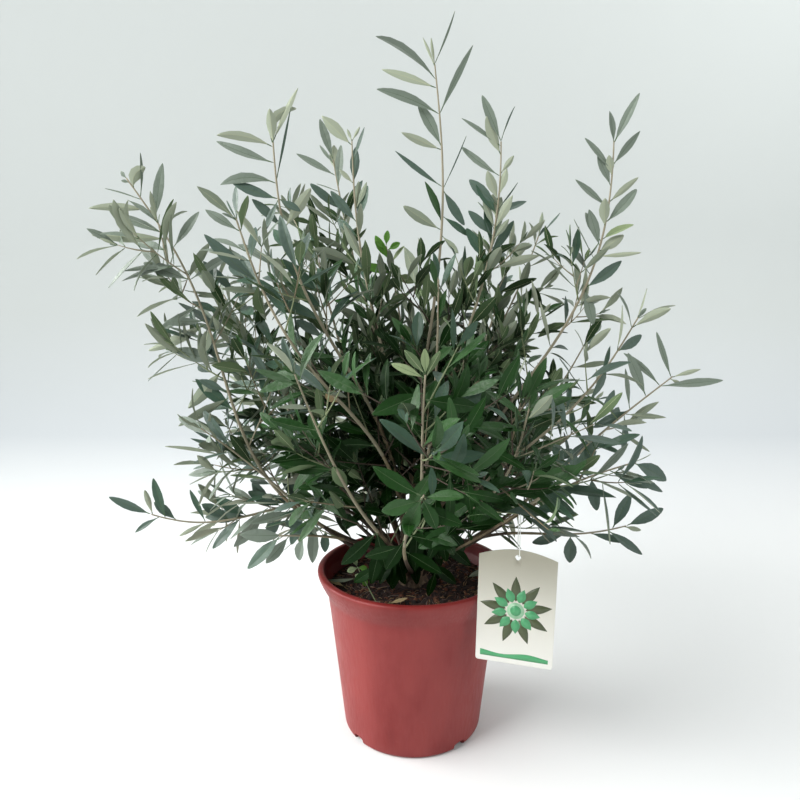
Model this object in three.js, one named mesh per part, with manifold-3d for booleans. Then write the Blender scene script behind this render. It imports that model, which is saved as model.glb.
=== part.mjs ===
// A pot-grown olive tree: a short stump in a flared nursery pot, with a fan of slender boughs
// that each carry one mass of narrow leaves in opposite pairs, and a plant tag on a loop.
// Millimetres, +Z up. The origin is the centre of the pot's flat underside; the front is -Y.

import * as THREE from "three";
import { mergeVertices } from "three/addons/utils/BufferGeometryUtils.js";
import Module from "manifold-3d";

const wasm = await Module();
wasm.setup();

// ---------------------------------------------------------------- driving dimensions

const GAP = 0.3; // between neighbouring pieces

// Pot
const POT_HEIGHT = 207;
const POT_SIDES = 40;
const BASE_RADIUS = 87.5;
const BASE_THICK = 3;
const WALL_THICK = 2.5;
const COLLAR_FOOT = 178; // height where the collar starts
const RIM_RADIUS = 120;
const LIP_WIDTH = 8.6;
const NOTCHES = 4; // drainage notches round the foot of the wall
const NOTCH_WIDTH = 17;
const NOTCH_HEIGHT = 9;
const NOTCH_DEPTH = 13;
const FIRST_NOTCH_DEG = -50;

// Soil
const SOIL_TOP = 184;
const SOIL_EDGE = 181.5;
const SOIL_SIDES = 36;

// Trunk
const TRUNK_FOOT_RADIUS = 19.5;
const TRUNK_WAIST_RADIUS = 14.5;
const TRUNK_HEAD_RADIUS = 16.5;
const TRUNK_HEIGHT = 62;
const TRUNK_LEAN = 4; // sideways shift of the head
const TRUNK_SIDES = 12;

// Tag and its loop
const TAG_WIDTH = 85;
const TAG_HEIGHT = 125;
const TAG_ARCH = 9; // rise of the arched top
const TAG_THICK = 0.8;
const TAG_CENTRE = [111.5, -112, 199];
const TAG_TURN_DEG = -15.2;
const TAG_TILT_DEG = -1;
const HOLE_RADIUS = 3.2;
const HOLE_DROP = 9; // from the top of the arch to the middle of the hole
const LOOP_WIRE = 0.6; // radius of the loop's strand
const LOOP_HALF_WIDTH = 5.5;

// Boughs and twigs
const BOUGH_ROOT_RADIUS = 3.1;
const STEM_RADIUS = 2.1; // where a mass starts
const STEM_TIP_RADIUS = 0.9;
const TWIG_RADIUS = 1.2;
const BOUGH_SIDES = 5;
const BOUGH_STEP = 50;
const STEM_STEP = 62;

// Leaves
const LEAF_LENGTH = 82;
const LEAF_WIDTH = 22;
const LEAF_THICK = 1.3;
const ROOT_SINK = 0.15; // a leaf starts this far along from its stem's middle, inside the stem
const SMALLEST_EDGE = 0.03; // shorter edges left by joining are closed up
const NODE_PITCH = 54; // between leaf pairs along a stem
const LOW_SPREAD_DEG = 58; // a leaf's slant from its stem, low on the stem
const HIGH_SPREAD_DEG = 30; // and near its tip
const SPREAD_PLAY_DEG = 14;
const TIP_LEAF = 0.8; // the leaf at a stem's tip, as a share of the full length
const LATERAL_PITCH = 92; // between side twigs along a stem
const LATERAL_LENGTH = 92;
const LATERAL_LEAST = 34;
const LATERAL_SLANT_DEG = 46;
const LATERAL_LIFT = 0.22; // how far a side twig curls up, as a share of its length
const LATERAL_TURN = 2.4; // radians round the stem from one side twig to the next
const SPACE_MARGIN = 1; // a mass stays nearer its own stem than any other by this
const SPACE_REACH = 104; // and within this of its own stem
const CLEARANCE = 4; // between foliage and the pot, soil, trunk and tag

// Keys of the repeatable numbers: each use of chance() along one stem has its own run of keys.
const SPREAD_KEY = 40;
const SIZE_KEY = 80;
const TIP_KEY = 120;
const LATERAL_KEY = 200;
const LATERAL_SIZE_KEY = 240;
const LATERAL_LEAVES_KEY = 300;
const KEYS_A_STEM = 130;

// Each shoot runs from the trunk to its tip: heading (degrees from +X towards +Y), how far out
// and how high the tip is, its bow, its S-bend, its sideways sweep, the heading, inset and height
// of its foot on the trunk, the bare share of its length, and whether that share is a bough of its
// own (if not, the mass's own stem starts at the trunk).
const SHOOTS = [
  ["leader", 40, 40, 812, 15, -10, 0, 40, 1, 61, 0.36, true],
  ["second_leader", 15, 128, 765, 5, -10, 0, 20, 9, 58, 0.36, true],
  ["tall_right", 0, 248, 748, 40, -15, 10, -25, 12, 50, 0.32, true],
  ["shoulder_right", 32, 200, 625, -15, -15, 15, 12, 12, 42, 0.3, true],
  ["mid_right", -14, 255, 520, 5, -10, -5, -28, 12, 34, 0.32, true],
  ["inner_right", 18, 245, 490, 5, -5, -5, 14, 12, 28, 0.3, true],
  ["far_right", -3, 330, 443, 0, 8, -12, -6, 12, 24, 0.36, true],
  ["low_right", -22, 268, 368, -5, 5, 15, -40, 12, 20, 0.3, false],
  ["skirt_right", -9, 268, 262, -26, -10, 6, -20, 12, 10, 0.34, false],
  ["tall_left", -150, 170, 715, 10, -20, 10, -145, 9, 58, 0.34, true],
  ["arm_left", -138, 230, 615, -5, -20, 18, -125, 12, 42, 0.32, true],
  ["sweep_left", -171, 318, 670, 55, 28, 15, -158, 12, 32, 0.3, true],
  ["left_back", 162, 270, 560, 15, 5, 10, 170, 12, 38, 0.3, true],
  ["skirt_left", -175, 335, 288, -40, -28, -20, -178, 12, 12, 0.34, false],
  ["front_left", -120, 225, 472, 25, 0, 5, -110, 12, 32, 0.3, true],
  ["back_left_tall", 125, 175, 755, -10, -15, 0, 118, 12, 50, 0.36, true],
  ["back_mid_tall", 155, 82, 752, 5, -10, -10, 150, 9, 59, 0.36, true],
  ["back_left", 142, 215, 665, -5, 10, 0, 160, 12, 50, 0.32, true],
  ["centre_back", 100, 95, 610, 25, -5, -10, 85, 9, 58, 0.34, true],
  ["front_centre", -92, 205, 480, 15, -20, 10, -85, 12, 40, 0.32, true],
  ["front_high", -75, 95, 560, 15, 0, 5, -80, 9, 57, 0.34, true],
  ["front_right", -62, 220, 440, 15, -15, 0, -60, 12, 30, 0.3, true],
  ["tag_bough", -44, 222, 368, 5, 0, 0, -62, 12, 20, 0.72, true],
  ["back_right", 50, 225, 600, 20, 0, 10, 48, 12, 50, 0.32, true],
  ["back", 85, 245, 540, 20, 5, -10, 85, 12, 40, 0.32, true],
  ["back_low", 100, 295, 375, 5, 10, 10, 100, 12, 20, 0.3, false],
  ["right_back_low", 42, 300, 365, 0, 10, -10, 42, 12, 20, 0.3, false],
  ["back_left_low", 140, 300, 385, 0, 10, 10, 140, 12, 22, 0.3, false],
  ["front_low_centre", -96, 238, 360, 10, 0, 0, -90, 12, 16, 0.25, false],
  ["front_low_left", -140, 190, 290, -20, 0, 5, -130, 12, 10, 0.2, false],
  ["left_low", -160, 250, 400, 10, 5, -5, -150, 12, 16, 0.3, false],
  ["sprout_left", -125, 74, 226, -14, 0, 0, -108, 12, 22, 0.2, false],
  ["sprout_right", -68, 74, 226, -16, 0, 0, -75, 12, 10, 0.2, false],
];

// ---------------------------------------------------------------- small helpers

const up = new THREE.Vector3(0, 0, 1);
const radians = (degrees) => (degrees * Math.PI) / 180;
const mix = (a, b, share) => a + (b - a) * share;
const point = (x, y, z) => new THREE.Vector3(x, y, z);

// A repeatable number from 0 to 1 for a shoot's seed and a running key.
function chance(seed, key) {
  const wave = Math.sin(seed * 127.1 + key * 311.7) * 43758.5453;
  return wave - Math.floor(wave);
}

// base + direction * length, as a new point.
function along(base, direction, length) {
  return base.clone().addScaledVector(direction, length);
}

// ---------------------------------------------------------------- solids

// A closed three.js geometry as a manifold-3d solid.
function solidOf(geometry) {
  const bare = geometry.clone();
  bare.deleteAttribute("normal");
  bare.deleteAttribute("uv");
  const merged = mergeVertices(bare, 1e-4);
  const corners = merged.index.array;
  const kept = [];
  for (let i = 0; i < corners.length; i += 3) {
    const [a, b, c] = [corners[i], corners[i + 1], corners[i + 2]];
    if (a !== b && b !== c && c !== a) kept.push(a, b, c);
  }
  return new wasm.Manifold(
    new wasm.Mesh({
      numProp: 3,
      vertProperties: merged.attributes.position.array,
      triVerts: new Uint32Array(kept),
    }),
  );
}

// A manifold-3d solid as a three.js geometry.
function geometryOf(solid) {
  const mesh = solid.getMesh();
  const geometry = new THREE.BufferGeometry();
  geometry.setAttribute("position", new THREE.BufferAttribute(mesh.vertProperties, 3));
  geometry.setIndex(new THREE.BufferAttribute(mesh.triVerts, 1));
  geometry.computeVertexNormals();
  return geometry;
}

// The largest of a solid's separate bodies, so that a loose scrap is dropped.
function mainBody(solid) {
  const bodies = solid.decompose();
  return bodies.reduce((best, body) => (body.volume() > best.volume() ? body : best));
}

// A closed skin over rings of points, with a flat fan at each end.
function loft(rings) {
  const sides = rings[0].length;
  const middle = (ring) =>
    ring.reduce((sum, p) => sum.add(p), point(0, 0, 0)).divideScalar(sides);
  const points = [...rings.flat(), middle(rings[0]), middle(rings.at(-1))];
  const first = rings.length * sides;
  const faces = [];
  for (let k = 0; k < sides; k++) {
    const next = (k + 1) % sides;
    for (let r = 0; r + 1 < rings.length; r++) {
      const [a, b] = [r * sides + k, r * sides + next];
      faces.push(a, b, b + sides, a, b + sides, a + sides);
    }
    const last = (rings.length - 1) * sides;
    faces.push(first, next, k, first + 1, last + k, last + next);
  }
  const geometry = new THREE.BufferGeometry().setFromPoints(points);
  geometry.setIndex(faces);
  return geometry;
}

// The direction of a course at a share of it.
function headingOn(course, share) {
  return course(share + 0.002).sub(course(share - 0.002)).normalize();
}

// Even shares of a course between two of them, about a step apart, and the length between.
function stretch(course, from, to, step) {
  const rough = Array.from({ length: 25 }, (_, n) => course(mix(from, to, n / 24)));
  const length = rough.slice(1).reduce((sum, p, n) => sum + p.distanceTo(rough[n]), 0);
  const pieces = Math.max(2, Math.round(length / step));
  const shares = Array.from({ length: pieces + 1 }, (_, n) => mix(from, to, n / pieces));
  return { shares, length };
}

// A tapering limb of the given number of sides along a course.
function limb(course, shares, radiusAt, sides) {
  const rings = shares.map((share, n) => {
    const tangent = headingOn(course, share);
    const side = sideOf(tangent);
    const back = tangent.clone().cross(side);
    const radius = radiusAt(n / (shares.length - 1));
    return Array.from({ length: sides }, (_, k) => {
      const turn = (2 * Math.PI * k) / sides;
      const spoke = side.clone().multiplyScalar(Math.cos(turn));
      return along(course(share), spoke.addScaledVector(back, Math.sin(turn)), radius);
    });
  });
  return loft(rings);
}

// A level direction square to a stem's own.
function sideOf(tangent) {
  const side = tangent.clone().cross(up);
  return side.length() < 0.05 ? point(0, -1, 0) : side.normalize();
}

// ---------------------------------------------------------------- pot and soil

// Heights up the outside of the wall, and its radius there: the tapering side, then the collar.
const SIDE = [
  [3, BASE_RADIUS],
  [80, 96],
  [150, 104],
  [COLLAR_FOOT - 1, 107.5],
];
const COLLAR = [
  [COLLAR_FOOT + 1, 110],
  [186, 116],
  [192, 119],
  [200, RIM_RADIUS],
  [205, RIM_RADIUS - 0.8],
];

// The inside of the wall: it follows the side, and goes on up at the side's own slope.
function innerRadius(height) {
  const above = SIDE.findIndex(([z]) => z > height);
  const n = above < 0 ? SIDE.length - 1 : Math.max(1, above);
  const [[z0, r0], [z1, r1]] = [SIDE[n - 1], SIDE[n]];
  return mix(r0, r1, (height - z0) / (z1 - z0)) - WALL_THICK;
}

// A profile of [radius, height] pairs turned about the Z axis.
function turned(profile, sides) {
  const outline = profile.map(([radius, height]) => new THREE.Vector2(radius, height));
  return new THREE.LatheGeometry(outline, sides).rotateX(Math.PI / 2);
}

function makePot() {
  const lipInner = RIM_RADIUS - LIP_WIDTH;
  const outer = [...SIDE, ...COLLAR].map(([height, radius]) => [radius, height]);
  const inner = [
    [innerRadius(COLLAR_FOOT), COLLAR_FOOT],
    [innerRadius(150), 150],
    [innerRadius(80), 80],
    [innerRadius(BASE_THICK) - 1, BASE_THICK],
  ];
  const profile = [
    [0, 0],
    [BASE_RADIUS - 3, 0],
    ...outer,
    [RIM_RADIUS - 2, POT_HEIGHT],
    [lipInner + 1, POT_HEIGHT],
    [lipInner, POT_HEIGHT - 2],
    [lipInner - 1, 192],
    ...inner,
    [0, BASE_THICK],
  ];
  let solid = solidOf(turned(profile, POT_SIDES));
  for (let n = 0; n < NOTCHES; n++) {
    const heading = radians(FIRST_NOTCH_DEG + (360 / NOTCHES) * n);
    const cutter = new THREE.BoxGeometry(NOTCH_DEPTH * 2, NOTCH_WIDTH, NOTCH_HEIGHT * 2);
    cutter.translate(BASE_RADIUS + 1, 0, 0).rotateZ(heading);
    solid = solid.subtract(solidOf(cutter));
  }
  return geometryOf(solid);
}

function makeSoil() {
  const floor = BASE_THICK + GAP;
  const profile = [
    [0, floor],
    [innerRadius(floor) - 2 - GAP, floor],
    [innerRadius(80) - 2 * GAP, 80],
    [innerRadius(150) - 2 * GAP, 150],
    [innerRadius(COLLAR_FOOT) - 2 * GAP, COLLAR_FOOT],
    [innerRadius(SOIL_EDGE) - 2 * GAP, SOIL_EDGE],
    [80, SOIL_EDGE + 1.5],
    [34, SOIL_TOP],
    [0, SOIL_TOP],
  ];
  return turned(profile, SOIL_SIDES);
}

// ---------------------------------------------------------------- trunk

// The trunk's radius at a share of its height: root flare, waist and knuckled head.
function trunkRadius(share) {
  const flare = (TRUNK_FOOT_RADIUS - TRUNK_WAIST_RADIUS) * Math.exp(-share * 7);
  const head = (TRUNK_HEAD_RADIUS - TRUNK_WAIST_RADIUS) * Math.sin(Math.PI * share ** 1.6);
  return TRUNK_WAIST_RADIUS + flare + head;
}

// The trunk's middle at a height above its foot.
function trunkMiddle(height) {
  return point(-TRUNK_LEAN * (height / TRUNK_HEIGHT) ** 2, 0, SOIL_TOP + GAP + height);
}

// The gnarled stump, grown all round by a clearance.
function trunkGeometry(clearance) {
  const rings = [];
  for (const share of [0, 0.06, 0.16, 0.32, 0.5, 0.68, 0.84, 0.94, 1]) {
    const shoulder = Math.sqrt(Math.max(0, 1 - ((share - 0.68) / 0.36) ** 2));
    const round = share > 0.68 ? mix(shoulder, 1, 0.15) : 1;
    const middle = trunkMiddle(share * TRUNK_HEIGHT + (share === 1 ? clearance : 0));
    rings.push(
      Array.from({ length: TRUNK_SIDES }, (_, k) => {
        const turn = (2 * Math.PI * k) / TRUNK_SIDES;
        const knuckle = 1 + 0.09 * Math.sin(3 * turn + 4 * share) + 0.05 * Math.cos(5 * turn - 7 * share);
        const radius = trunkRadius(share) * round * knuckle + clearance;
        return middle.clone().add(point(radius * Math.cos(turn), radius * Math.sin(turn), 0));
      }),
    );
  }
  return loft(rings);
}

// ---------------------------------------------------------------- shoots

// A shoot's course from foot (0) to tip (1): a chord, bowed and bent in S below it, swept sideways.
function courseOf([, heading, reach, rise, bow, bend, sweep, footHeading, inset, footHeight]) {
  const turn = radians(heading);
  const outward = point(Math.cos(turn), Math.sin(turn), 0);
  const left = point(-Math.sin(turn), Math.cos(turn), 0);
  const footTurn = radians(footHeading);
  const footward = point(Math.cos(footTurn), Math.sin(footTurn), 0);
  const foot = along(trunkMiddle(footHeight), footward, inset);
  const tip = outward.clone().multiplyScalar(reach).setZ(rise);
  const chord = tip.clone().sub(foot);
  const below = left.clone().cross(chord.clone().normalize());
  return (share) => {
    const place = along(foot, chord, share);
    const dip = bow * Math.sin(Math.PI * share) + bend * Math.sin(2 * Math.PI * share);
    place.addScaledVector(below, dip);
    return place.addScaledVector(left, sweep * Math.sin(Math.PI * share));
  };
}

const courses = SHOOTS.map(courseOf);
const traces = courses.map((course) => stretch(course, 0, 1, 14).shares.map(course));

function distanceTo(trace, place) {
  return Math.sqrt(
    trace.reduce((least, p) => Math.min(least, p.distanceToSquared(place)), Infinity),
  );
}

// ---------------------------------------------------------------- tag and loop

const tagTurn = new THREE.Euler(0, radians(-TAG_TILT_DEG), radians(TAG_TURN_DEG), "ZYX");
const tagMiddle = point(...TAG_CENTRE);

// A place in the card's own frame (X along its width, Z up its height, Y through it).
function onTag(x, y, z) {
  return point(x, y, z).applyEuler(tagTurn).add(tagMiddle);
}

const holePlace = onTag(0, 0, TAG_HEIGHT / 2 + TAG_ARCH - HOLE_DROP);

// Where the loop hangs on the tag's bough: the point of its course nearest the hole's own X and Y.
function loopTop() {
  const index = SHOOTS.findIndex(([name]) => name === "tag_bough");
  const places = stretch(courses[index], 0, 1, 1).shares.map(courses[index]);
  const beside = (p) => Math.hypot(p.x - holePlace.x, p.y - holePlace.y);
  return places.reduce((best, p) => (beside(p) < beside(best) ? p : best));
}

function makeTag() {
  const half = TAG_WIDTH / 2;
  const foot = -TAG_HEIGHT / 2;
  const shoulder = TAG_HEIGHT / 2;
  const outline = new THREE.Shape();
  outline.moveTo(-half, foot);
  outline.lineTo(half, foot);
  outline.lineTo(half, shoulder);
  outline.quadraticCurveTo(half * 0.45, shoulder + TAG_ARCH, 0, shoulder + TAG_ARCH);
  outline.quadraticCurveTo(-half * 0.45, shoulder + TAG_ARCH, -half, shoulder);
  outline.closePath();
  const hole = new THREE.Path();
  hole.absarc(0, shoulder + TAG_ARCH - HOLE_DROP, HOLE_RADIUS, 0, 2 * Math.PI, true);
  outline.holes.push(hole);
  const geometry = new THREE.ExtrudeGeometry(outline, {
    depth: TAG_THICK,
    bevelEnabled: false,
    curveSegments: 8,
  });
  return geometry.translate(0, 0, -TAG_THICK / 2).rotateX(Math.PI / 2);
}

// The loop goes over the bough and down through the hole, as a closed ring of thin strand.
function makeLoop() {
  const top = loopTop();
  const boughRadius = STEM_RADIUS + 0.6;
  const crown = top.z + boughRadius + GAP + 2 * LOOP_WIRE;
  const heel = holePlace.z + HOLE_RADIUS - GAP - 2 * LOOP_WIRE;
  const straight = (crown - heel) / 2 - LOOP_HALF_WIDTH;
  const middle = point((top.x + holePlace.x) / 2, (top.y + holePlace.y) / 2, (crown + heel) / 2);
  const steps = 20;
  const sides = 5;
  const rings = Array.from({ length: steps }, (_, n) => {
    const turn = (2 * Math.PI * n) / steps;
    const spoke = point(0, Math.cos(turn), Math.sin(turn));
    const lift = Math.sign(Math.round(Math.sin(turn) * 1e6)) * straight;
    const centre = along(middle, spoke, LOOP_HALF_WIDTH).add(point(0, 0, lift));
    return Array.from({ length: sides }, (_, k) => {
      const roll = (2 * Math.PI * k) / sides;
      const edge = along(centre, spoke, LOOP_WIRE * Math.cos(roll));
      return edge.add(point(LOOP_WIRE * Math.sin(roll), 0, 0));
    });
  });
  const faces = [];
  for (let n = 0; n < steps; n++) {
    for (let k = 0; k < sides; k++) {
      const [a, b] = [n * sides + k, n * sides + ((k + 1) % sides)];
      const [c, d] = [((n + 1) % steps) * sides + k, ((n + 1) % steps) * sides + ((k + 1) % sides)];
      faces.push(a, d, b, a, c, d);
    }
  }
  const geometry = new THREE.BufferGeometry().setFromPoints(rings.flat());
  geometry.setIndex(faces);
  return geometry;
}

// ---------------------------------------------------------------- a mass's own space

const loopPlace = loopTop();

// True where a place is clear of the soil, the pot's rim and the trunk.
function clearOfPot(place) {
  const radius = Math.hypot(place.x, place.y);
  const overPot = radius < RIM_RADIUS + CLEARANCE;
  const overRim = overPot && radius > RIM_RADIUS - LIP_WIDTH - 2 * CLEARANCE;
  const byTrunk = radius < TRUNK_FOOT_RADIUS + CLEARANCE;
  if (overPot && place.z < SOIL_TOP + CLEARANCE) return false;
  if (overRim && place.z < POT_HEIGHT + CLEARANCE) return false;
  return !byTrunk || place.z > SOIL_TOP + TRUNK_HEIGHT;
}

// True where a place is clear of the card, the way in front of it, and the loop.
function clearOfTag(place) {
  const local = place.clone().sub(tagMiddle).applyAxisAngle(up, -radians(TAG_TURN_DEG));
  const acrossCard = Math.abs(local.x) < TAG_WIDTH / 2 + CLEARANCE;
  const underArch = local.z < TAG_HEIGHT / 2 + TAG_ARCH + CLEARANCE;
  const nearCard = local.y < 1.5 * CLEARANCE && local.y > -TAG_WIDTH;
  if (acrossCard && underArch && nearCard) return false;
  const beside = Math.hypot(place.x - loopPlace.x, place.y - loopPlace.y);
  return beside > 2 * LOOP_HALF_WIDTH || place.z > loopPlace.z + 3 * CLEARANCE;
}

// True where every place lies in the mass's own space: nearer its own stem than any other.
function inOwnSpace(index, places) {
  return places.every((place) => {
    const own = distanceTo(traces[index], place);
    if (own > SPACE_REACH || !clearOfPot(place) || !clearOfTag(place)) return false;
    return traces.every((trace, n) => n === index || distanceTo(trace, place) > own + SPACE_MARGIN);
  });
}

// ---------------------------------------------------------------- leaves and twigs

// The corners of a leaf: root, tip, two edges and the two faces, widest a little below its middle.
function leafCorners({ root, along: heading, face, length }) {
  const across = face.clone().cross(heading).normalize();
  const width = LEAF_WIDTH * (length / LEAF_LENGTH) ** 0.7;
  const belly = along(root, heading, length * 0.45);
  return [
    along(root, heading, ROOT_SINK),
    along(root, heading, length),
    along(belly, across, width / 2),
    along(belly, across, -width / 2),
    along(belly, face, LEAF_THICK / 2),
    along(belly, face, -LEAF_THICK / 2),
  ];
}

function leafSolid(leaf) {
  const geometry = new THREE.BufferGeometry().setFromPoints(leafCorners(leaf));
  geometry.setIndex([0, 4, 2, 0, 3, 4, 0, 5, 3, 0, 2, 5, 1, 2, 4, 1, 4, 3, 1, 3, 5, 1, 5, 2]);
  const solid = solidOf(geometry);
  if (solid.volume() > 0) return solid;
  throw new Error("a leaf is inside out");
}

// Places to test against the mass's space: a leaf's tip, edges and the middles of its far edges.
function leafPlaces(leaf) {
  const [, tip, left, right] = leafCorners(leaf);
  const halfway = (edge) => edge.clone().lerp(tip, 0.5);
  return [tip, left, right, halfway(left), halfway(right)];
}

// A leaf that stands out of a stem at a roll about it and a spread from it, facing the stem's tip.
function leafAt(place, tangent, roll, spread, length) {
  const side = sideOf(tangent);
  const back = tangent.clone().cross(side);
  const out = side.multiplyScalar(Math.cos(roll)).addScaledVector(back, Math.sin(roll));
  const heading = tangent.clone().multiplyScalar(Math.cos(spread));
  heading.addScaledVector(out, Math.sin(spread)).normalize();
  const face = along(tangent, heading, -tangent.dot(heading));
  if (face.length() < 0.05) face.copy(out);
  return { root: place, along: heading, face: face.normalize(), length };
}

// Opposite pairs up a leafy stretch of stem, each pair a quarter turn from the last, and a leaf
// at the tip.
function leavesOf(course, from, length, seed, key) {
  const pairs = Math.max(1, Math.round(length / NODE_PITCH));
  const leaves = [];
  for (let n = 0; n < pairs; n++) {
    const height = (n + 0.55) / pairs;
    const share = mix(from, 1, height);
    const tangent = headingOn(course, share);
    const roll = (Math.PI / 2) * n + 0.9 * chance(seed, key + n);
    const play = SPREAD_PLAY_DEG * (chance(seed, key + n + SPREAD_KEY) - 0.5);
    const spread = radians(mix(LOW_SPREAD_DEG, HIGH_SPREAD_DEG, height) + play);
    for (const turn of [0, Math.PI]) {
      const vigour = 0.82 + 0.3 * chance(seed, key + n + SIZE_KEY + turn);
      const size = LEAF_LENGTH * vigour * (1 - 0.25 * height ** 3);
      leaves.push(leafAt(course(share), tangent, roll + turn, spread, size));
    }
  }
  const tangent = headingOn(course, 1);
  const end = along(course(1), tangent, -3);
  const roll = 2 * Math.PI * chance(seed, key + TIP_KEY);
  leaves.push(leafAt(end, tangent, roll, radians(7), LEAF_LENGTH * TIP_LEAF));
  return leaves;
}

// A side twig's course: it leaves its stem at a slant and curls back towards the light.
function lateralCourse(place, tangent, roll, length) {
  const slant = leafAt(place, tangent, roll, radians(LATERAL_SLANT_DEG), 1).along;
  const lift = LATERAL_LIFT * length;
  return (share) => along(place, slant, length * share).addScaledVector(up, lift * share ** 2);
}

// A mass: its stem, side twigs and leaves, each kept only if it stays in the mass's own space.
function makeMass(index) {
  const seed = index + 1;
  const course = courses[index];
  const [bare, onBough] = SHOOTS[index].slice(-2);
  const { length } = stretch(course, bare, 1, STEM_STEP);
  const start = onBough ? bare + (GAP / length) * (1 - bare) : 0;
  const { shares } = stretch(course, start, 1, STEM_STEP);
  const taper = (share) => mix(STEM_RADIUS, STEM_TIP_RADIUS, share);
  const solids = [solidOf(limb(course, shares, taper, 3))];
  const addLeaves = (leaves) => {
    const kept = leaves.filter((leaf) => inOwnSpace(index, leafPlaces(leaf)));
    kept.forEach((leaf) => solids.push(leafSolid(leaf)));
  };
  addLeaves(leavesOf(course, bare, length, seed, 0));
  const laterals = Math.round(length / LATERAL_PITCH);
  for (let n = 0; n < laterals; n++) {
    const height = 0.06 + (0.72 * (n + 0.5)) / laterals;
    const share = mix(bare, 1, height);
    const roll = LATERAL_TURN * n + 2 * chance(seed, LATERAL_KEY + n);
    const vigour = 0.8 + 0.4 * chance(seed, LATERAL_SIZE_KEY + n);
    const wanted = LATERAL_LENGTH * (1 - 0.5 * height) * vigour;
    for (const cut of [1, 0.75, 0.5]) {
      const size = wanted * cut;
      const twig = lateralCourse(course(share), headingOn(course, share), roll, size);
      if (size < LATERAL_LEAST || !inOwnSpace(index, [twig(0.5), twig(1)])) continue;
      const thinning = (far) => mix(TWIG_RADIUS, STEM_TIP_RADIUS, far);
      solids.push(solidOf(limb(twig, [0, 0.5, 1], thinning, 3)));
      addLeaves(leavesOf(twig, 0.1, size, seed, LATERAL_LEAVES_KEY + KEYS_A_STEM * n));
      break;
    }
  }
  let mass = wasm.Manifold.union(solids);
  if (!onBough) mass = mass.subtract(trunkKeepout);
  return geometryOf(mainBody(mass.simplify(SMALLEST_EDGE)));
}

// A bough: the bare lower part of a shoot, cut clear of the trunk.
function makeBough(index) {
  const bare = SHOOTS[index].at(-2);
  const { shares } = stretch(courses[index], 0, bare, BOUGH_STEP);
  const taper = (share) => mix(BOUGH_ROOT_RADIUS, STEM_RADIUS, share ** 0.8);
  const skin = limb(courses[index], shares, taper, BOUGH_SIDES);
  return geometryOf(mainBody(solidOf(skin).subtract(trunkKeepout)));
}

const trunkKeepout = solidOf(trunkGeometry(GAP));

// ---------------------------------------------------------------- the assembly

const potPlastic = new THREE.MeshStandardMaterial({ color: 0x9c5350, roughness: 0.5 });
const pottingSoil = new THREE.MeshStandardMaterial({ color: 0x3a2a26, roughness: 1 });
const oldBark = new THREE.MeshStandardMaterial({ color: 0x7d6a55, roughness: 0.9 });
const youngBark = new THREE.MeshStandardMaterial({ color: 0x9c8566, roughness: 0.8 });
const oliveLeaf = new THREE.MeshStandardMaterial({ color: 0x56705f, roughness: 0.55 });
const tagCard = new THREE.MeshStandardMaterial({ color: 0xe4e3da, roughness: 0.45 });
const tagLoop = new THREE.MeshStandardMaterial({ color: 0xdedfd8, roughness: 0.5 });

const olive = new THREE.Group();

function add(name, geometry, material) {
  const mesh = new THREE.Mesh(geometry, material);
  mesh.name = name;
  olive.add(mesh);
  return mesh;
}

add("pot", makePot(), potPlastic);
add("soil", makeSoil(), pottingSoil);
add("trunk", trunkGeometry(0), oldBark);
const tag = add("tag", makeTag(), tagCard);
tag.rotation.copy(tagTurn);
tag.position.copy(tagMiddle);
add("tag_loop", makeLoop(), tagLoop);

SHOOTS.forEach(([name, ...shape], index) => {
  if (shape.at(-1)) add("bough_" + name, makeBough(index), youngBark);
  add("mass_" + name, makeMass(index), oliveLeaf);
});

export default olive;
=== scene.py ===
"""A pot-grown olive tree: the finish and the fine growth of every piece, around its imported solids.

Lengths are in millimetres until write_mesh() turns them to metres. The origin is the middle of the
pot's flat underside, +Z is up and the front is -Y.
"""

import math

import bpy
import numpy as np
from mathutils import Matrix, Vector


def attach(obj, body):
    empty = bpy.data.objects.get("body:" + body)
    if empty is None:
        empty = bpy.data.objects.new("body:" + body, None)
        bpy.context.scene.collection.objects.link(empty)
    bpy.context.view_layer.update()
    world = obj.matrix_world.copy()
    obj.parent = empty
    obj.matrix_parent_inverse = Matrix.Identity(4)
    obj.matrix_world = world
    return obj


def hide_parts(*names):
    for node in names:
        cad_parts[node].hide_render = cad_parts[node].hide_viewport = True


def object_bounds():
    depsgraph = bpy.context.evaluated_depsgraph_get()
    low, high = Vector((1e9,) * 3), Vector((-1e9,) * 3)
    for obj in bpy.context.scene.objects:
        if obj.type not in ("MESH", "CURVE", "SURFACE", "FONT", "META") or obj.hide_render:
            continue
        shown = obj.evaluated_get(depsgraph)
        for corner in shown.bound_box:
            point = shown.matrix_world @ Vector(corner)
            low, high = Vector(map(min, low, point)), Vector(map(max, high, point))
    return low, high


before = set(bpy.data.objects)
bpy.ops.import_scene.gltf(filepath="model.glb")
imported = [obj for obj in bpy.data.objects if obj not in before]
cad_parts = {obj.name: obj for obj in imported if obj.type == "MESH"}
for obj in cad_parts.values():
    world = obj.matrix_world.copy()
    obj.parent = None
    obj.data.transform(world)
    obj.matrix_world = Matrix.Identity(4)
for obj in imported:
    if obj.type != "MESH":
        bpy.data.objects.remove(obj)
CAD_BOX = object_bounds()

MM = 0.001
UP = np.array([0.0, 0.0, 1.0])

# ---------------------------------------------------------------- sizes shared with the solids

GAP = 0.3
POT_HEIGHT = 207
BASE_RADIUS = 87.5
BASE_THICK = 3
WALL_THICK = 2.5
COLLAR_FOOT = 178
RIM_RADIUS = 120
LIP_WIDTH = 8.6
NOTCHES = 4
NOTCH_WIDTH = 17
NOTCH_HEIGHT = 9
NOTCH_DEPTH = 13
FIRST_NOTCH_DEG = -50

SOIL_TOP = 184
SOIL_EDGE = 181.5

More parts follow.
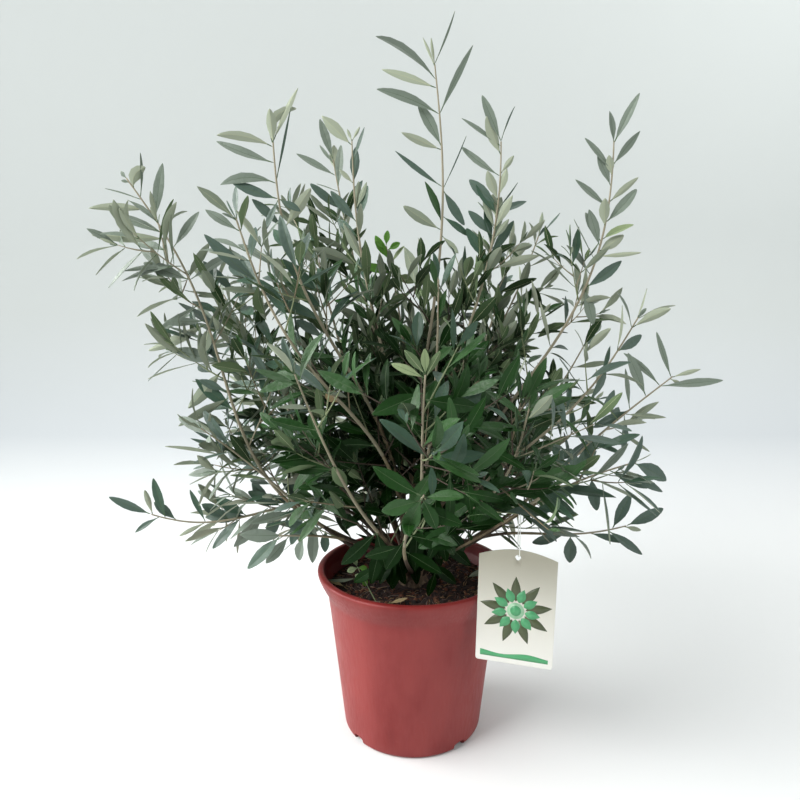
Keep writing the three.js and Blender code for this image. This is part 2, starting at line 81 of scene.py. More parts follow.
TRUNK_FOOT_RADIUS = 19.5
TRUNK_WAIST_RADIUS = 14.5
TRUNK_HEAD_RADIUS = 16.5
TRUNK_HEIGHT = 62
TRUNK_LEAN = 4

TAG_WIDTH = 85
TAG_HEIGHT = 125
TAG_ARCH = 9
TAG_THICK = 0.8
TAG_CENTRE = np.array([111.5, -112, 199])
TAG_TURN_DEG = -15.2
TAG_TILT_DEG = -1
HOLE_RADIUS = 3.2
HOLE_DROP = 9
LOOP_WIRE = 0.6
LOOP_HALF_WIDTH = 5.5

BOUGH_ROOT_RADIUS = 3.1
STEM_RADIUS = 2.1
STEM_TIP_RADIUS = 0.8
# The boughs that are thinner than the rest, and the share of the usual radius that they keep.
THIN_BOUGHS = {"tag_bough": 0.66, "front_centre": 0.75, "front_right": 0.8}
TWIG_RADIUS = 0.9
TWIG_TIP_RADIUS = 0.45

SPACE_REACH = 108  # foliage keeps within this of its own stem
SPACE_MARGIN = -32  # and may come nearer a neighbouring stem than its own by this
HEART_MARGIN = -95  # and more so in the heart of the crown
UNDERSIDE = 224  # the lowest leaves at the crown's middle
UNDERSIDE_SLOPE = 0.36  # and how it rises to the front
BACK_SLOPE = 0.1  # how it falls to the back
UNDERSIDE_WAVE = 26  # how far its clumps hang below one another
OPEN_RISE = 20  # and how much it rises over the pot's mouth
CLEARANCE = 2  # between foliage and the pot, soil, trunk and tag

# Each shoot runs from the trunk to its tip: heading (degrees from +X towards +Y), how far out
# and how high the tip is, its bow, its S-bend, its sideways sweep, the heading, inset and height
# of its foot on the trunk, the bare share of its length, and whether that share is a bough of its
# own (if not, the mass's own stem starts at the trunk).
SHOOTS = [
    ("leader", 40, 40, 812, 15, -10, 0, 40, 1, 61, 0.36, True),
    ("second_leader", 15, 128, 765, 5, -10, 0, 20, 9, 58, 0.36, True),
    ("tall_right", 0, 248, 748, 40, -15, 10, -25, 12, 50, 0.32, True),
    ("shoulder_right", 32, 200, 625, -15, -15, 15, 12, 12, 42, 0.3, True),
    ("mid_right", -14, 255, 520, 5, -10, -5, -28, 12, 34, 0.32, True),
    ("inner_right", 18, 245, 490, 5, -5, -5, 14, 12, 28, 0.3, True),
    ("far_right", -3, 330, 443, 0, 8, -12, -6, 12, 24, 0.36, True),
    ("low_right", -22, 268, 368, -5, 5, 15, -40, 12, 20, 0.3, False),
    ("skirt_right", -9, 268, 262, -26, -10, 6, -20, 12, 10, 0.34, False),
    ("tall_left", -150, 170, 715, 10, -20, 10, -145, 9, 58, 0.34, True),
    ("arm_left", -138, 230, 615, -5, -20, 18, -125, 12, 42, 0.32, True),
    ("sweep_left", -171, 318, 670, 55, 28, 15, -158, 12, 32, 0.3, True),
    ("left_back", 162, 270, 560, 15, 5, 10, 170, 12, 38, 0.3, True),
    ("skirt_left", -175, 335, 288, -40, -28, -20, -178, 12, 12, 0.34, False),
    ("front_left", -120, 225, 472, 25, 0, 5, -110, 12, 32, 0.3, True),
    ("back_left_tall", 125, 175, 755, -10, -15, 0, 118, 12, 50, 0.36, True),
    ("back_mid_tall", 155, 82, 752, 5, -10, -10, 150, 9, 59, 0.36, True),
    ("back_left", 142, 215, 665, -5, 10, 0, 160, 12, 50, 0.32, True),
    ("centre_back", 100, 95, 610, 25, -5, -10, 85, 9, 58, 0.34, True),
    ("front_centre", -92, 205, 480, 15, -20, 10, -85, 12, 40, 0.32, True),
    ("front_high", -75, 95, 560, 15, 0, 5, -80, 9, 57, 0.34, True),
    ("front_right", -62, 220, 440, 15, -15, 0, -60, 12, 30, 0.3, True),
    ("tag_bough", -44, 222, 368, 5, 0, 0, -62, 12, 20, 0.72, True),
    ("back_right", 50, 225, 600, 20, 0, 10, 48, 12, 50, 0.32, True),
    ("back", 85, 245, 540, 20, 5, -10, 85, 12, 40, 0.32, True),
    ("back_low", 100, 295, 375, 5, 10, 10, 100, 12, 20, 0.3, False),
    ("right_back_low", 42, 300, 365, 0, 10, -10, 42, 12, 20, 0.3, False),
    ("back_left_low", 140, 300, 385, 0, 10, 10, 140, 12, 22, 0.3, False),
    ("front_low_centre", -96, 238, 360, 10, 0, 0, -90, 12, 16, 0.25, False),
    ("front_low_left", -140, 190, 290, -20, 0, 5, -130, 12, 10, 0.2, False),
    ("left_low", -160, 250, 400, 10, 5, -5, -150, 12, 16, 0.3, False),
    ("sprout_left", -125, 74, 226, -14, 0, 0, -108, 12, 22, 0.2, False),
    ("sprout_right", -68, 74, 226, -16, 0, 0, -75, 12, 10, 0.2, False),
]

# The viewer: the camera's place in metres, how far below level it looks, and its lens.
CAMERA_PLACE = (-0.016, -0.786, 0.537)
CAMERA_PITCH_DEG = 8.6
LENS_MM = 29.25

# ---------------------------------------------------------------- leaves and twigs

NODE_PITCH = 27  # between leaf pairs on a main stem
TWIG_PITCH = 21  # and on a side twig
LEAF_LENGTH = 68
HEART_SLIMNESS = 3.4  # length over width of the old leaves in the heart of the crown
EDGE_SLIMNESS = 5.3  # and of the young ones at its edge
LEAF_THICK = 0.5
PETIOLE = 6
PETIOLE_WIDTH = 1.2
RIB_WIDTH = 0.5
LOW_SPREAD_DEG = 66
HIGH_SPREAD_DEG = 38
SPREAD_PLAY_DEG = 32
STRAY = 0.5  # how far a leaf's heading strays from the rule
TOP_LIFT = 0.4  # and how much it stands up at the top of the crown's middle
TOP_FROM = 400  # the height from which it does
TOP_RUN = 110  # over which, and over how far from the middle, that comes and goes
LATERAL_PITCH = 39
LATERAL_LENGTH = 92
LATERAL_LEAST = 24
LATERAL_SLANT_DEG = 50
LATERAL_LIFT = 0.16
LATERAL_TURN = 2.4
LATERAL_TAPER = 0.6  # by how much they shorten towards the tip
FINER_FROM = 48  # a side twig longer than this carries finer ones
FINER_REACH = 0.58  # and how long they are, as a share of it
LEAST_LEAVES = 3  # a twig with fewer has died back
STEM_SIDES = 8
OLD_WOOD_RINGS = 24  # rings of dark old wood at the foot of a stem that starts at the trunk
SIDE_SHARE = 0.8  # how far up its mass a stem carries side twigs
INNER_PITCH = 13  # between the twigs that hide the boughs in the heart of the crown
INNER_LENGTH = 72
INNER_START = 0.12
HEART_END = 0.58  # the share of the way out where they end
HEART_TOP = 440  # and the height over which none grow
HEART_SHORTNESS = 0.16  # by how much the leaves are shorter in the heart

# The crown's size, for the share of the way out from its heart to its edge, and how much narrower it
# is below SKIRT_TOP. The narrowing also gives the skirt's side leaves the pale tints of the edge, as
# painted light.
CROWN_RADIUS = 275
CROWN_DEPTH = 430
SKIRT_NARROWING = 145
SKIRT_TOP = 370
CROWN_HEART = 300
CROWN_HALF_HEIGHT = 440

# Keys of the repeatable numbers: each use of chance() along one stem has its own run of keys.
SIZE_KEY = 80
TIP_KEY = 120
LATERAL_KEY = 200
LATERAL_SIZE_KEY = 240
LATERAL_LEAVES_KEY = 300
KEYS_A_STEM = 130
PLAY_KEYS = 7000
FINER_KEYS = 5000
INNER_KEY = 20000

# How a shoot differs from the usual: pitch of its leaf pairs, length of its leaves, how far up it
# carries side twigs, and how long those are.
HABIT = {
    "leader": (36, 66, 0.4, 0.7),
    "centre_back": (31, 60, 0.6, 0.75),
    "front_high": (30, 58, 0.62, 0.75),
    "back": (30, 62, 0.72, 0.85),
    "second_leader": (30, 60, 0.58, 0.8),
    "tall_right": (30, 60, 0.58, 0.76),
    "shoulder_right": (31, 60, 0.72, 0.8),
    "mid_right": (30, 62, 0.68, 0.8),
    "inner_right": (31, 62, 0.66, 0.75),
    "far_right": (34, 60, 0.6, 0.75),
    "low_right": (32, 60, 0.42, 0.75),
    "skirt_right": (32, 56, 0.5, 0.7),
    "right_back_low": (33, 58, 0.52, 0.76),
    "back_right": (31, 60, 0.66, 0.8),
    "tall_left": (33, 64, 0.5, 0.8),
    "arm_left": (27, 66, 0.8, 0.95),
    "sweep_left": (27, 66, 0.72, 1.05),
    "left_back": (27, 66, 0.86, 1.05),
    "skirt_left": (34, 58, 0.5, 0.8),
    "left_low": (32, 64, 0.7, 0.9),
    "front_low_left": (30, 60, 0.6, 0.8),
    "back_left_tall": (31, 60, 0.56, 0.8),
    "back_mid_tall": (31, 60, 0.5, 0.7),
}

# Shoots whose stems show against the crown: up to this share, nothing grows across their front.
BARE_FRONT = {
    "front_left": 0.8,
    "arm_left": 0.85,
    "tall_left": 0.8,
    "sweep_left": 0.75,
    "tall_right": 0.75,
    "mid_right": 0.7,
    "tag_bough": 0.9,
    "leader": 0.7,
}

SIGHT = 0.0045  # half the width kept free in front of them, over the distance from the viewer
SIGHT_DEPTH = 8  # and how near them leaves may stand
SIGHT_SHARE = 0.75  # the share of the leaves in front of them that is left out

# Boxes in the crown, as two corners, where no leaf or side twig grows by rule: round the leader above
# the dense part of the crown, over the young tip at its top, in the hollow at its heart, and between
# the two lowest shoots to the right.
CLEARINGS = [
    ((-30, -70, 614), (72, 130, 900)),
    ((-50, -160, 585), (-8, 50, 700)),
    ((-74, -320, 318), (-14, -66, 408)),
    ((188, -200, 284), (262, 200, 328)),
]

# How far each shoot's tip leans away from its plain course, in millimetres.
TIP_LEAN = {
    "leader": (-6, 0, 0),
    "second_leader": (-20, 0, 0),
    "tall_right": (-18, 0, 0),
    "far_right": (-7, 0, 18),
    "back_left_tall": (-12, 0, 0),
    "skirt_right": (0, 0, 14),
    "front_low_centre": (30, 0, 10),
    "front_centre": (14, 0, -8),
    "centre_back": (-18, 0, 0),
}

# Leaves set one by one where a shoot stands clear of the rest: the share of the shoot where the leaf
# grows, its lean from upright as seen from the front (degrees, positive to +X), its length, its
# width, the side that it shows to the front, and how far it sways round to +X (radians).
UPPER, UNDER, EDGE = "upper", "under", "edge"
FRESH, BRIGHT, DRY = "fresh", "bright", "dry"
SET_LEAVES = {
    "arm_left": [
        (0.52, -64, 20, 15, DRY, 0.4),
    ],
    "left_low": [
        (0.45, 179, 58, 14, UPPER, 0.1),
        (0.38, -176, 30, 12, UPPER, 0),
        (0.5, -160, 44, 14, UPPER, 0),
    ],
    "front_left": [
        (0.3, -138, 62, 17, UPPER, 0.1),
        (0.31, 168, 50, 15, UPPER, 0),
        (0.25, -165, 56, 15, UPPER, 0),
        (0.16, -176, 50, 17, UPPER, 0),
        (0.14, -160, 46, 15, UPPER, 0.1),
        (0.12, 168, 42, 15, UPPER, 0),
    ],
    "front_right": [
        (0.11, 158, 44, 14, UPPER, 0),
        (0.2, 128, 62, 16, UPPER, 0.1),
        (0.2, 164, 50, 16, UPPER, 0),
        (0.28, 172, 46, 15, UPPER, 0),
        (0.3, -158, 46, 14, UPPER, 0),
    ],
    "front_centre": [
        (0.06, 176, 50, 16, UPPER, 0),
        (0.09, -170, 54, 17, UPPER, 0),
        (0.11, 160, 56, 17, UPPER, 0),
        (0.12, -156, 54, 16, UPPER, 0),
        (0.16, 174, 64, 18, UPPER, 0),
        (0.18, -166, 66, 17, UPPER, 0),
        (0.2, 150, 62, 17, UPPER, 0.1),
        (0.22, -178, 68, 17, UPPER, 0),
        (1.0, -2, 24, 8, FRESH, 0),
        (1.0, -40, 30, 9, UNDER, 0),
        (0.99, -66, 34, 9, FRESH, 0),
        (0.99, 28, 28, 8, UNDER, 0),
        (0.95, -112, 52, 17, UPPER, 0),
        (0.93, 100, 52, 17, UPPER, 0),
    ],
    "sprout_left": [
        (0.4, -168, 40, 14, UPPER, 0),
        (0.7, -146, 34, 14, UPPER, 0),
        (0.95, -120, 38, 13, UPPER, -0.2),
    ],
    "sprout_right": [
        (0.4, 160, 44, 14, UPPER, 0),
        (0.7, 130, 48, 14, UPPER, 0.1),
        (0.95, -165, 36, 11, UPPER, 0),
    ],
    "leader": [
        (1.0, 24, 60, 5, EDGE, 0.1),
        (0.995, -26, 34, 4, UNDER, 0),
        (0.995, -8, 36, 4, UNDER, 0),
        (0.97, -42, 90, 14, UPPER, -0.95),
        (0.955, -66, 72, 10, UNDER, -0.1),
        (0.905, -62, 80, 12, UPPER, -0.3),
        (0.905, 24, 84, 8, UPPER, 0.1),
        (0.84, -24, 58, 14, UPPER, -0.2),
        (0.835, -70, 53, 10, UNDER, 0),
        (0.76, -60, 72, 8, UPPER, 0.2),
        (0.755, 25, 70, 4, EDGE, 0),
        (0.755, 148, 50, 12, UPPER, 0),
        (0.7, 124, 42, 9, UPPER, 0),
        (0.685, -20, 54, 15, UPPER, -0.1),
        (0.67, -62, 55, 13, UNDER, 0.1),
        (0.66, 136, 32, 8, UNDER, 0),
    ],
    "second_leader": [
        (0.93, -26, 57, 11, UPPER, 0),
        (0.93, 14, 52, 4, EDGE, 0.5),
        (0.92, -56, 58, 8, UPPER, 0),
        (0.9, -24, 48, 14, UNDER, 0),
        (0.86, 36, 26, 7, UNDER, 0),
        (0.855, -58, 60, 9, UPPER, 0.2),
        (0.81, 14, 34, 10, UNDER, 0),
        (0.8, -22, 38, 13, UNDER, 0),
        (0.79, -48, 48, 14, UPPER, 0),
        (0.78, 36, 40, 5, EDGE, 0),
        (0.77, 60, 42, 11, UPPER, 0.2),
        (0.77, -34, 46, 13, UPPER, 0),
        (0.76, -8, 32, 12, UNDER, 0),
        (0.75, 10, 34, 11, UNDER, 0.1),
        (0.74, -22, 40, 9, UNDER, 0),
        (0.73, 24, 42, 8, UPPER, 0),
        (0.72, -44, 44, 12, UPPER, 0),
        (0.71, 36, 32, 8, UNDER, 0),
        (0.7, -12, 46, 12, UPPER, 0),
        (0.68, 18, 44, 10, UNDER, 0),
        (0.66, -32, 50, 13, UPPER, 0),
    ],
    "tall_right": [
        (0.95, 22, 58, 10, UPPER, 0.1),
        (0.95, -12, 36, 9, UPPER, 0),
        (0.91, 33, 46, 10, UPPER, 0.1),
        (0.9, -41, 50, 9, UPPER, -0.1),
        (0.89, -14, 24, 10, UNDER, 0),
        (0.87, -25, 40, 13, UPPER, 0),
        (0.84, 48, 50, 8, UNDER, 0.1),
        (0.83, -53, 52, 8, UPPER, 0),
        (0.8, 49, 56, 13, UPPER, -0.2),
        (0.79, -6, 34, 13, UNDER, 0),
        (0.765, 57, 42, 12, FRESH, 0.5),
        (0.76, -29, 40, 11, UPPER, 0),
        (0.75, -18, 46, 13, UPPER, 0),
        (0.74, 57, 36, 13, UNDER, 0),
        (0.73, 86, 50, 6, UNDER, 0),
        (0.72, -34, 58, 4, EDGE, 0),
        (0.69, -38, 46, 14, UPPER, 0),
        (0.66, 58, 54, 13, UPPER, -0.2),
        (0.66, 165, 45, 13, UPPER, 0),
    ],
    "far_right": [
        (0.95, -24, 58, 7, UPPER, 0.1),
        (0.95, 70, 36, 6, UNDER, 0.1),
        (0.945, 118, 16, 5, UNDER, 0),
        (0.91, 83, 70, 11, UPPER, 0),
        (0.91, -38, 58, 8, UPPER, -0.3),
        (0.86, -25, 58, 13, UPPER, 0),
        (0.8, -10, 50, 8, UPPER, 0.1),
        (0.8, -118, 48, 13, UPPER, 0),
        (0.78, 178, 50, 14, UPPER, 0),
        (0.78, 97, 57, 7, UNDER, 0),
    ],
    "tall_left": [
        (0.97, 20, 64, 8, UNDER, 0.1),
        (0.965, -2, 34, 11, UNDER, 0),
        (0.965, -24, 56, 9, UNDER, 2.0),
        (0.96, -62, 58, 10, UNDER, -0.7),
        (0.93, -76, 66, 11, UPPER, 0.3),
        (0.895, 11, 76, 4, EDGE, 0),
        (0.89, -66, 60, 11, UPPER, -0.9),
        (0.86, 118, 26, 9, UPPER, 0),
        (0.86, -78, 54, 12, UPPER, 0.3),
        (0.86, -156, 36, 8, UPPER, 0),
        (0.8, 33, 52, 12, UNDER, 0),
        (0.8, -48, 46, 11, UPPER, 0),
    ],
    "sweep_left": [
        (1.0, -40, 10, 5, UPPER, 0),
        (0.99, -78, 9, 4, UPPER, 0),
        (0.975, -18, 30, 13, UNDER, 1.7),
        (0.955, 6, 48, 4, EDGE, -0.3),
        (0.95, -70, 40, 4, EDGE, -0.4),
        (0.925, -80, 64, 9, UNDER, -0.3),
        (0.905, 10, 60, 12, UPPER, 0.1),
        (0.87, -64, 60, 11, UPPER, -0.3),
        (0.86, -88, 78, 12, UNDER, 0),
        (0.84, 40, 50, 11, UPPER, 0),
        (0.8, -92, 66, 9, UPPER, 0),
        (0.77, -70, 54, 14, UPPER, 0),
        (0.77, 55, 54, 12, UPPER, 0),
        (0.72, -122, 68, 9, UPPER, 0),
        (0.685, -92, 46, 10, UPPER, 0),
        (0.68, -118, 76, 13, UNDER, 0.1),
        (0.67, -168, 28, 13, UNDER, 0),
        (0.6, -72, 52, 16, UPPER, 0),
        (0.585, -140, 60, 15, UNDER, 0.1),
        (0.54, -66, 36, 10, UPPER, 0),
        (0.53, -122, 66, 13, UNDER, 0.1),
        (0.5, -50, 58, 15, UPPER, 0),
    ],
    "skirt_left": [
        (0.95, -64, 54, 11, UPPER, 0),
        (0.945, -8, 36, 7, UNDER, 0),
        (0.92, -116, 36, 7, UPPER, -0.2),
        (0.9, -13, 54, 12, UPPER, 0.1),
        (0.86, -50, 36, 12, UPPER, 0),
        (0.76, -18, 48, 8, UPPER, 0),
        (0.76, -119, 40, 6, UNDER, 0),
        (0.68, -60, 40, 16, UPPER, 0),
        (0.64, -138, 56, 15, UPPER, 0.1),
        (0.62, -55, 46, 15, UPPER, 0),
        (0.62, -92, 54, 17, UPPER, 0),
        (0.6, -168, 32, 12, UNDER, 0),
        (0.56, -142, 60, 16, UPPER, 0.1),
        (0.54, -30, 44, 15, UPPER, 0),
        (0.5, -152, 52, 15, UPPER, 0),
        (0.5, -62, 48, 16, UPPER, 0),
        (0.44, -170, 46, 14, UPPER, 0),
        (0.42, -48, 44, 15, UPPER, 0),
    ],
    "front_low_left": [
        (0.99, -137, 48, 15, UPPER, 0.1),
        (0.97, -84, 46, 15, UPPER, 0),
        (0.94, -142, 40, 12, UPPER, 0.1),
        (0.86, -166, 34, 13, UPPER, 0),
        (0.78, -70, 40, 14, UPPER, 0),
    ],
    "back_left_tall": [
        (0.95, -18, 57, 12, UPPER, 0),
        (0.94, -38, 32, 5, UPPER, 0),
        (0.92, -4, 38, 15, UNDER, 0),
        (0.91, -62, 62, 11, UPPER, 0),
        (0.88, 4, 56, 12, UPPER, 0),
        (0.87, -72, 32, 4, EDGE, 0),
        (0.82, -51, 56, 12, UPPER, 0),
        (0.81, 30, 52, 12, UPPER, 0),
    ],
    "back_mid_tall": [
        (0.955, -22, 16, 4, UNDER, 0),
        (0.955, 34, 19, 4, UNDER, 0),
        (0.945, -47, 50, 15, UNDER, 0),
        (0.91, 22, 42, 6, UPPER, 0),
        (0.86, 3, 46, 12, UPPER, 0),
        (0.86, -46, 24, 6, UNDER, 0),
        (0.8, 6, 36, 9, UNDER, 0),
        (0.8, 22, 36, 8, UNDER, 0),
        (0.77, 18, 46, 13, UPPER, 0),
        (0.77, -40, 50, 12, UPPER, 0),
    ],
    "low_right": [
        (0.96, 112, 44, 17, UPPER, 0.2),
        (0.95, 70, 36, 5, EDGE, 0.8),
        (0.9, 118, 60, 11, UPPER, 0),
        (0.87, 116, 52, 10, UPPER, 0),
        (0.8, 170, 40, 14, UPPER, 0),
        (0.74, -14, 44, 13, UPPER, 0),
    ],
    "skirt_right": [
        (0.96, 66, 50, 14, UPPER, 0),
        (0.95, 100, 20, 6, UNDER, 0),
        (0.9, 30, 49, 14, UPPER, 0),
        (0.88, 125, 54, 11, UPPER, 0),
        (0.8, 104, 52, 9, UPPER, 0),
        (0.72, 178, 38, 16, UPPER, 0),
        (0.7, -108, 42, 12, UPPER, 0),
    ],
    "front_low_centre": [
        (0.62, -116, 46, 15, UPPER, 0.1),
        (0.55, 120, 46, 15, UPPER, 0),
        (0.68, -148, 36, 14, UPPER, 0),
        (0.72, 96, 48, 16, UPPER, 0.2),
        (0.99, -64, 52, 15, UPPER, 0.2),
        (0.97, -104, 36, 15, UPPER, 0),
        (0.99, -152, 42, 16, UPPER, -0.2),
        (0.985, 82, 38, 14, UPPER, 0.2),
        (0.98, 150, 32, 13, UPPER, 0.2),
        (0.93, 112, 44, 15, UPPER, 0),
    ],
    "centre_back": [
        (1.0, 8, 20, 9, BRIGHT, 0),
        (0.99, -55, 18, 8, BRIGHT, 0),
        (0.985, 60, 20, 9, BRIGHT, 0),
        (0.95, -30, 38, 12, BRIGHT, 0),
        (0.94, 40, 30, 10, FRESH, 0),
        (0.91, -75, 40, 13, BRIGHT, 0),
        (0.9, 100, 36, 13, FRESH, 0),
    ],
}

# Leaves lying on the compost: across and back, heading in degrees, length, width, and side shown.
FALLEN = [
    (-72, 4, 200, 38, 12, UNDER),
    (-84, -20, 150, 26, 9, DRY),
    (-30, -66, 15, 24, 8, DRY),
    (44, -62, -20, 30, 9, DRY),
    (70, 6, 40, 34, 11, UNDER),
    (12, -84, 170, 20, 7, DRY),
    (-40, 66, 80, 32, 11, UNDER),
    (52, 60, 130, 28, 10, DRY),
]

# A seedling that stands in the compost: its foot and tip, and its leaves as above.
SEEDLING = ((-44, -58, 183), (-68, -34, 218))
SEEDLING_LEAVES = [
    (1.0, -20, 13, 7, FRESH, 0),
    (0.98, 95, 12, 7, BRIGHT, 0),
    (0.97, -110, 14, 8, FRESH, 0),
    (0.7, 160, 12, 8, BRIGHT, 0),
    (0.68, -75, 11, 7, FRESH, 0),
]

# A shoot with set leaves grows none by rule past the first share here, and its stem ends at the
# second.
SET_FROM = {
    "arm_left": (1.0, 1.0),
    "left_low": (1.0, 1.0),
    "leader": (0.64, 1.0),
    "second_leader": (0.76, 0.93),
    "tall_right": (0.65, 0.955),
    "far_right": (0.76, 0.955),
    "tall_left": (0.78, 0.97),
    "sweep_left": (0.66, 1.0),
    "skirt_left": (0.5, 0.95),
    "front_low_left": (0.8, 1.0),
    "back_left_tall": (0.8, 0.95),
    "back_mid_tall": (0.76, 0.955),
    "low_right": (0.8, 0.97),
    "skirt_right": (0.78, 0.96),
    "front_low_centre": (0.9, 1.0),
    "front_centre": (0.92, 1.0),
    "centre_back": (0.93, 1.0),
    "front_left": (1.0, 1.0),
    "front_right": (1.0, 1.0),
    "sprout_left": (0.5, 1.0),
    "sprout_right": (0.5, 1.0),
}


def chance(seed, key):
    """A repeatable number from 0 to 1: the fraction left of a large sine of seed and key."""
    wave = np.sin(seed * 127.1 + np.asarray(key, float) * 311.7) * 43758.5453
    return wave - np.floor(wave)


def mix(a, b, share):
    """The value at a share of the way from a to b."""
    return a + (b - a) * share


def unit(vectors):
    """Vectors over their own lengths."""
    return vectors / np.maximum(np.linalg.norm(vectors, axis=-1, keepdims=True), 1e-9)


def dot(a, b):
    """The sum of the products of two vectors' parts, with its axis kept."""
    return (a * b).sum(-1, keepdims=True)


def across_from(direction):
    """A unit vector in the ground plane at a heading in degrees."""
    turn = math.radians(direction)
    return np.array([math.cos(turn), math.sin(turn), 0.0])


# ---------------------------------------------------------------- meshes from arrays


def woven(rows, columns, ring=True):
    """Quads over a grid of points kept row after row; a ring joins the last column to the first."""
    row = np.arange(rows - 1)[:, None] * columns
    column = np.arange(columns if ring else columns - 1)[None, :]
    beside = (column + 1) % columns
    quads = [row + column, row + beside, row + columns + beside, row + columns + column]
    return np.stack(quads, -1).reshape(-1, 4)


def tipped(rows, sides):
    """Triangles from the first and the last ring to two poles, whose points follow the rings' own. The
    fourth corner of a triangle is -1."""
    here = np.arange(sides)
    beside = (here + 1) % sides
    last = (rows - 1) * sides
    none = np.full(sides, -1)
    foot = np.stack([np.full(sides, rows * sides), beside, here, none], -1)
    head = np.stack([np.full(sides, rows * sides + 1), last + here, last + beside, none], -1)
    return np.concatenate([foot, head])


def capped(rings):
    """A closed skin over (rows, sides, 3) rings with a pole at each end, and its faces."""
    rows, sides = rings.shape[:2]
    points = np.concatenate([rings.reshape(-1, 3), [rings[0].mean(0)], [rings[-1].mean(0)]])
    return points, np.concatenate([woven(rows, sides), tipped(rows, sides)])


def looped(rings):
    """A closed skin over (rows, sides, 3) rings whose last row meets the first, and its faces."""
    rows, sides = rings.shape[:2]
    here = np.arange(sides)
    beside = (here + 1) % sides
    last = (rows - 1) * sides
    seam = np.stack([last + here, last + beside, beside, here], -1)
    return rings.reshape(-1, 3), np.concatenate([woven(rows, sides), seam])


def joined(parts):
    """Many (points, faces, slots) as one, each part's corners moved up past those before it."""
    points = [part[0] for part in parts]
    starts = np.cumsum([0] + [len(own) for own in points[:-1]])
    faces = [np.where(part[1] >= 0, part[1] + start, -1) for part, start in zip(parts, starts)]
    slots = [np.broadcast_to(slot, len(own)) for _, own, slot in parts]
    return np.concatenate(points), np.concatenate(faces), np.concatenate(slots)


def write_mesh(name, points, faces, finishes, slots=0, smooth=True):
    """One mesh object from points in millimetres and faces of three or four corners."""
    corners = faces[faces >= 0]
    sizes = (faces >= 0).sum(1)
    mesh = bpy.data.meshes.new(name)
    mesh.vertices.add(len(points))
    mesh.vertices.foreach_set("co", (np.asarray(points) * MM).astype(np.float32).ravel())
    mesh.loops.add(len(corners))
    mesh.loops.foreach_set("vertex_index", corners.astype(np.int32))
    mesh.polygons.add(len(faces))
    starts = np.concatenate([[0], np.cumsum(sizes)[:-1]])
    mesh.polygons.foreach_set("loop_start", starts.astype(np.int32))
    for finish in finishes:
        mesh.materials.append(finish)
    slot_of_face = np.broadcast_to(slots, len(faces)).astype(np.int32)
    mesh.polygons.foreach_set("material_index", slot_of_face)
    mesh.update(calc_edges=True)
    mesh.validate()
    if smooth:
        mesh.shade_smooth()
    piece = bpy.data.objects.new(name, mesh)
    bpy.context.scene.collection.objects.link(piece)
    return piece


def place_piece(piece, slot, *nodes):
    """Ties a finished piece to the part: its body and the solids it stands for, which it hides. slot is
    not used.
    """
    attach(piece, "root")
    if nodes:
        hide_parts(*nodes)


def tube(places, radii, sides, relief=None):
    """A closed tube along places: at each, a ring of the given radius square to the way on. relief is
    added to the radius, one number for each place and side."""
    ways = unit(np.gradient(places, axis=0))
    chord = np.abs(unit(places[-1] - places[0]))
    guide = np.eye(3)[int(np.argmin(chord))]
    side = unit(np.cross(ways, guide))
    back = np.cross(ways, side)
    turn = np.arange(sides) * 2 * np.pi / sides
    radius = np.asarray(radii)[:, None] + (0 if relief is None else relief)
    ring = side[:, None] * np.cos(turn)[:, None] + back[:, None] * np.sin(turn)[:, None]
    return capped(places[:, None] + ring * radius[..., None])


# ---------------------------------------------------------------- finishes


def linear(code):
    """An sRGB hex colour as the four linear numbers that a shader takes."""
    parts = [int(code[i : i + 2], 16) / 255 for i in (1, 3, 5)]
    bent = [c / 12.92 if c <= 0.04045 else ((c + 0.055) / 1.055) ** 2.4 for c in parts]
    return (*bent, 1.0)


def add_node(tree, kind, inputs=None, **settings):
    """Adds one node, sets its settings, and gives its inputs their values or links."""
    node = tree.nodes.new(kind)
    for name, value in settings.items():
        setattr(node, name, value)
    for name, value in (inputs or {}).items():
        if isinstance(value, bpy.types.NodeSocket):
            tree.links.new(value, node.inputs[name])
        else:
            node.inputs[name].default_value = value
    return node


def start_finish(name):
    """A new material: its node tree, its shader, and the piece's own coordinates."""
    material = bpy.data.materials.new(name)
    material.use_nodes = True
    tree = material.node_tree
    shader = next(node for node in tree.nodes if node.type == "BSDF_PRINCIPLED")
    place = add_node(tree, "ShaderNodeTexCoord").outputs["Object"]
    return material, tree, shader, place


def grain(tree, place, size_mm, detail=3.0, roughness=0.55, stretch=(1, 1, 1), distortion=0.0):
    """Soft noise with blotches about size_mm across, longer along an axis whose stretch is small."""
    moved = add_node(tree, "ShaderNodeMapping", {"Vector": place, "Scale": stretch}).outputs["Vector"]
    noise = {
        "Vector": moved,
        "Scale": 1 / (size_mm * MM),
        "Detail": detail,
        "Roughness": roughness,
        "Distortion": distortion,
    }
    return add_node(tree, "ShaderNodeTexNoise", noise).outputs["Fac"]


def height_in(tree, place):
    """The height of a piece's own coordinates, in metres."""
    return add_node(tree, "ShaderNodeSeparateXYZ", {"Vector": place}).outputs["Z"]


def product(tree, first, second):
    """Two values multiplied."""
    inputs = {0: first, 1: second}
    return add_node(tree, "ShaderNodeMath", inputs, operation="MULTIPLY").outputs["Value"]


def graded(tree, value, low, high, start=0.3, end=0.7):
    """A value's run from start to end, carried to the run from low to high."""
    run = {"Value": value, "From Min": start, "From Max": end, "To Min": low, "To Max": high}
    return add_node(tree, "ShaderNodeMapRange", run).outputs["Result"]


def tinted(tree, value, stops):
    """A colour for each value: stops are (place, hex) from low to high."""
    ramp = add_node(tree, "ShaderNodeValToRGB", {"Fac": value})
    marks = ramp.color_ramp.elements
    for place, code in stops[1:-1]:
        marks.new(place)
    for mark, (place, code) in zip(marks, stops):
        mark.position = place
        mark.color = linear(code)
    return ramp.outputs["Color"]


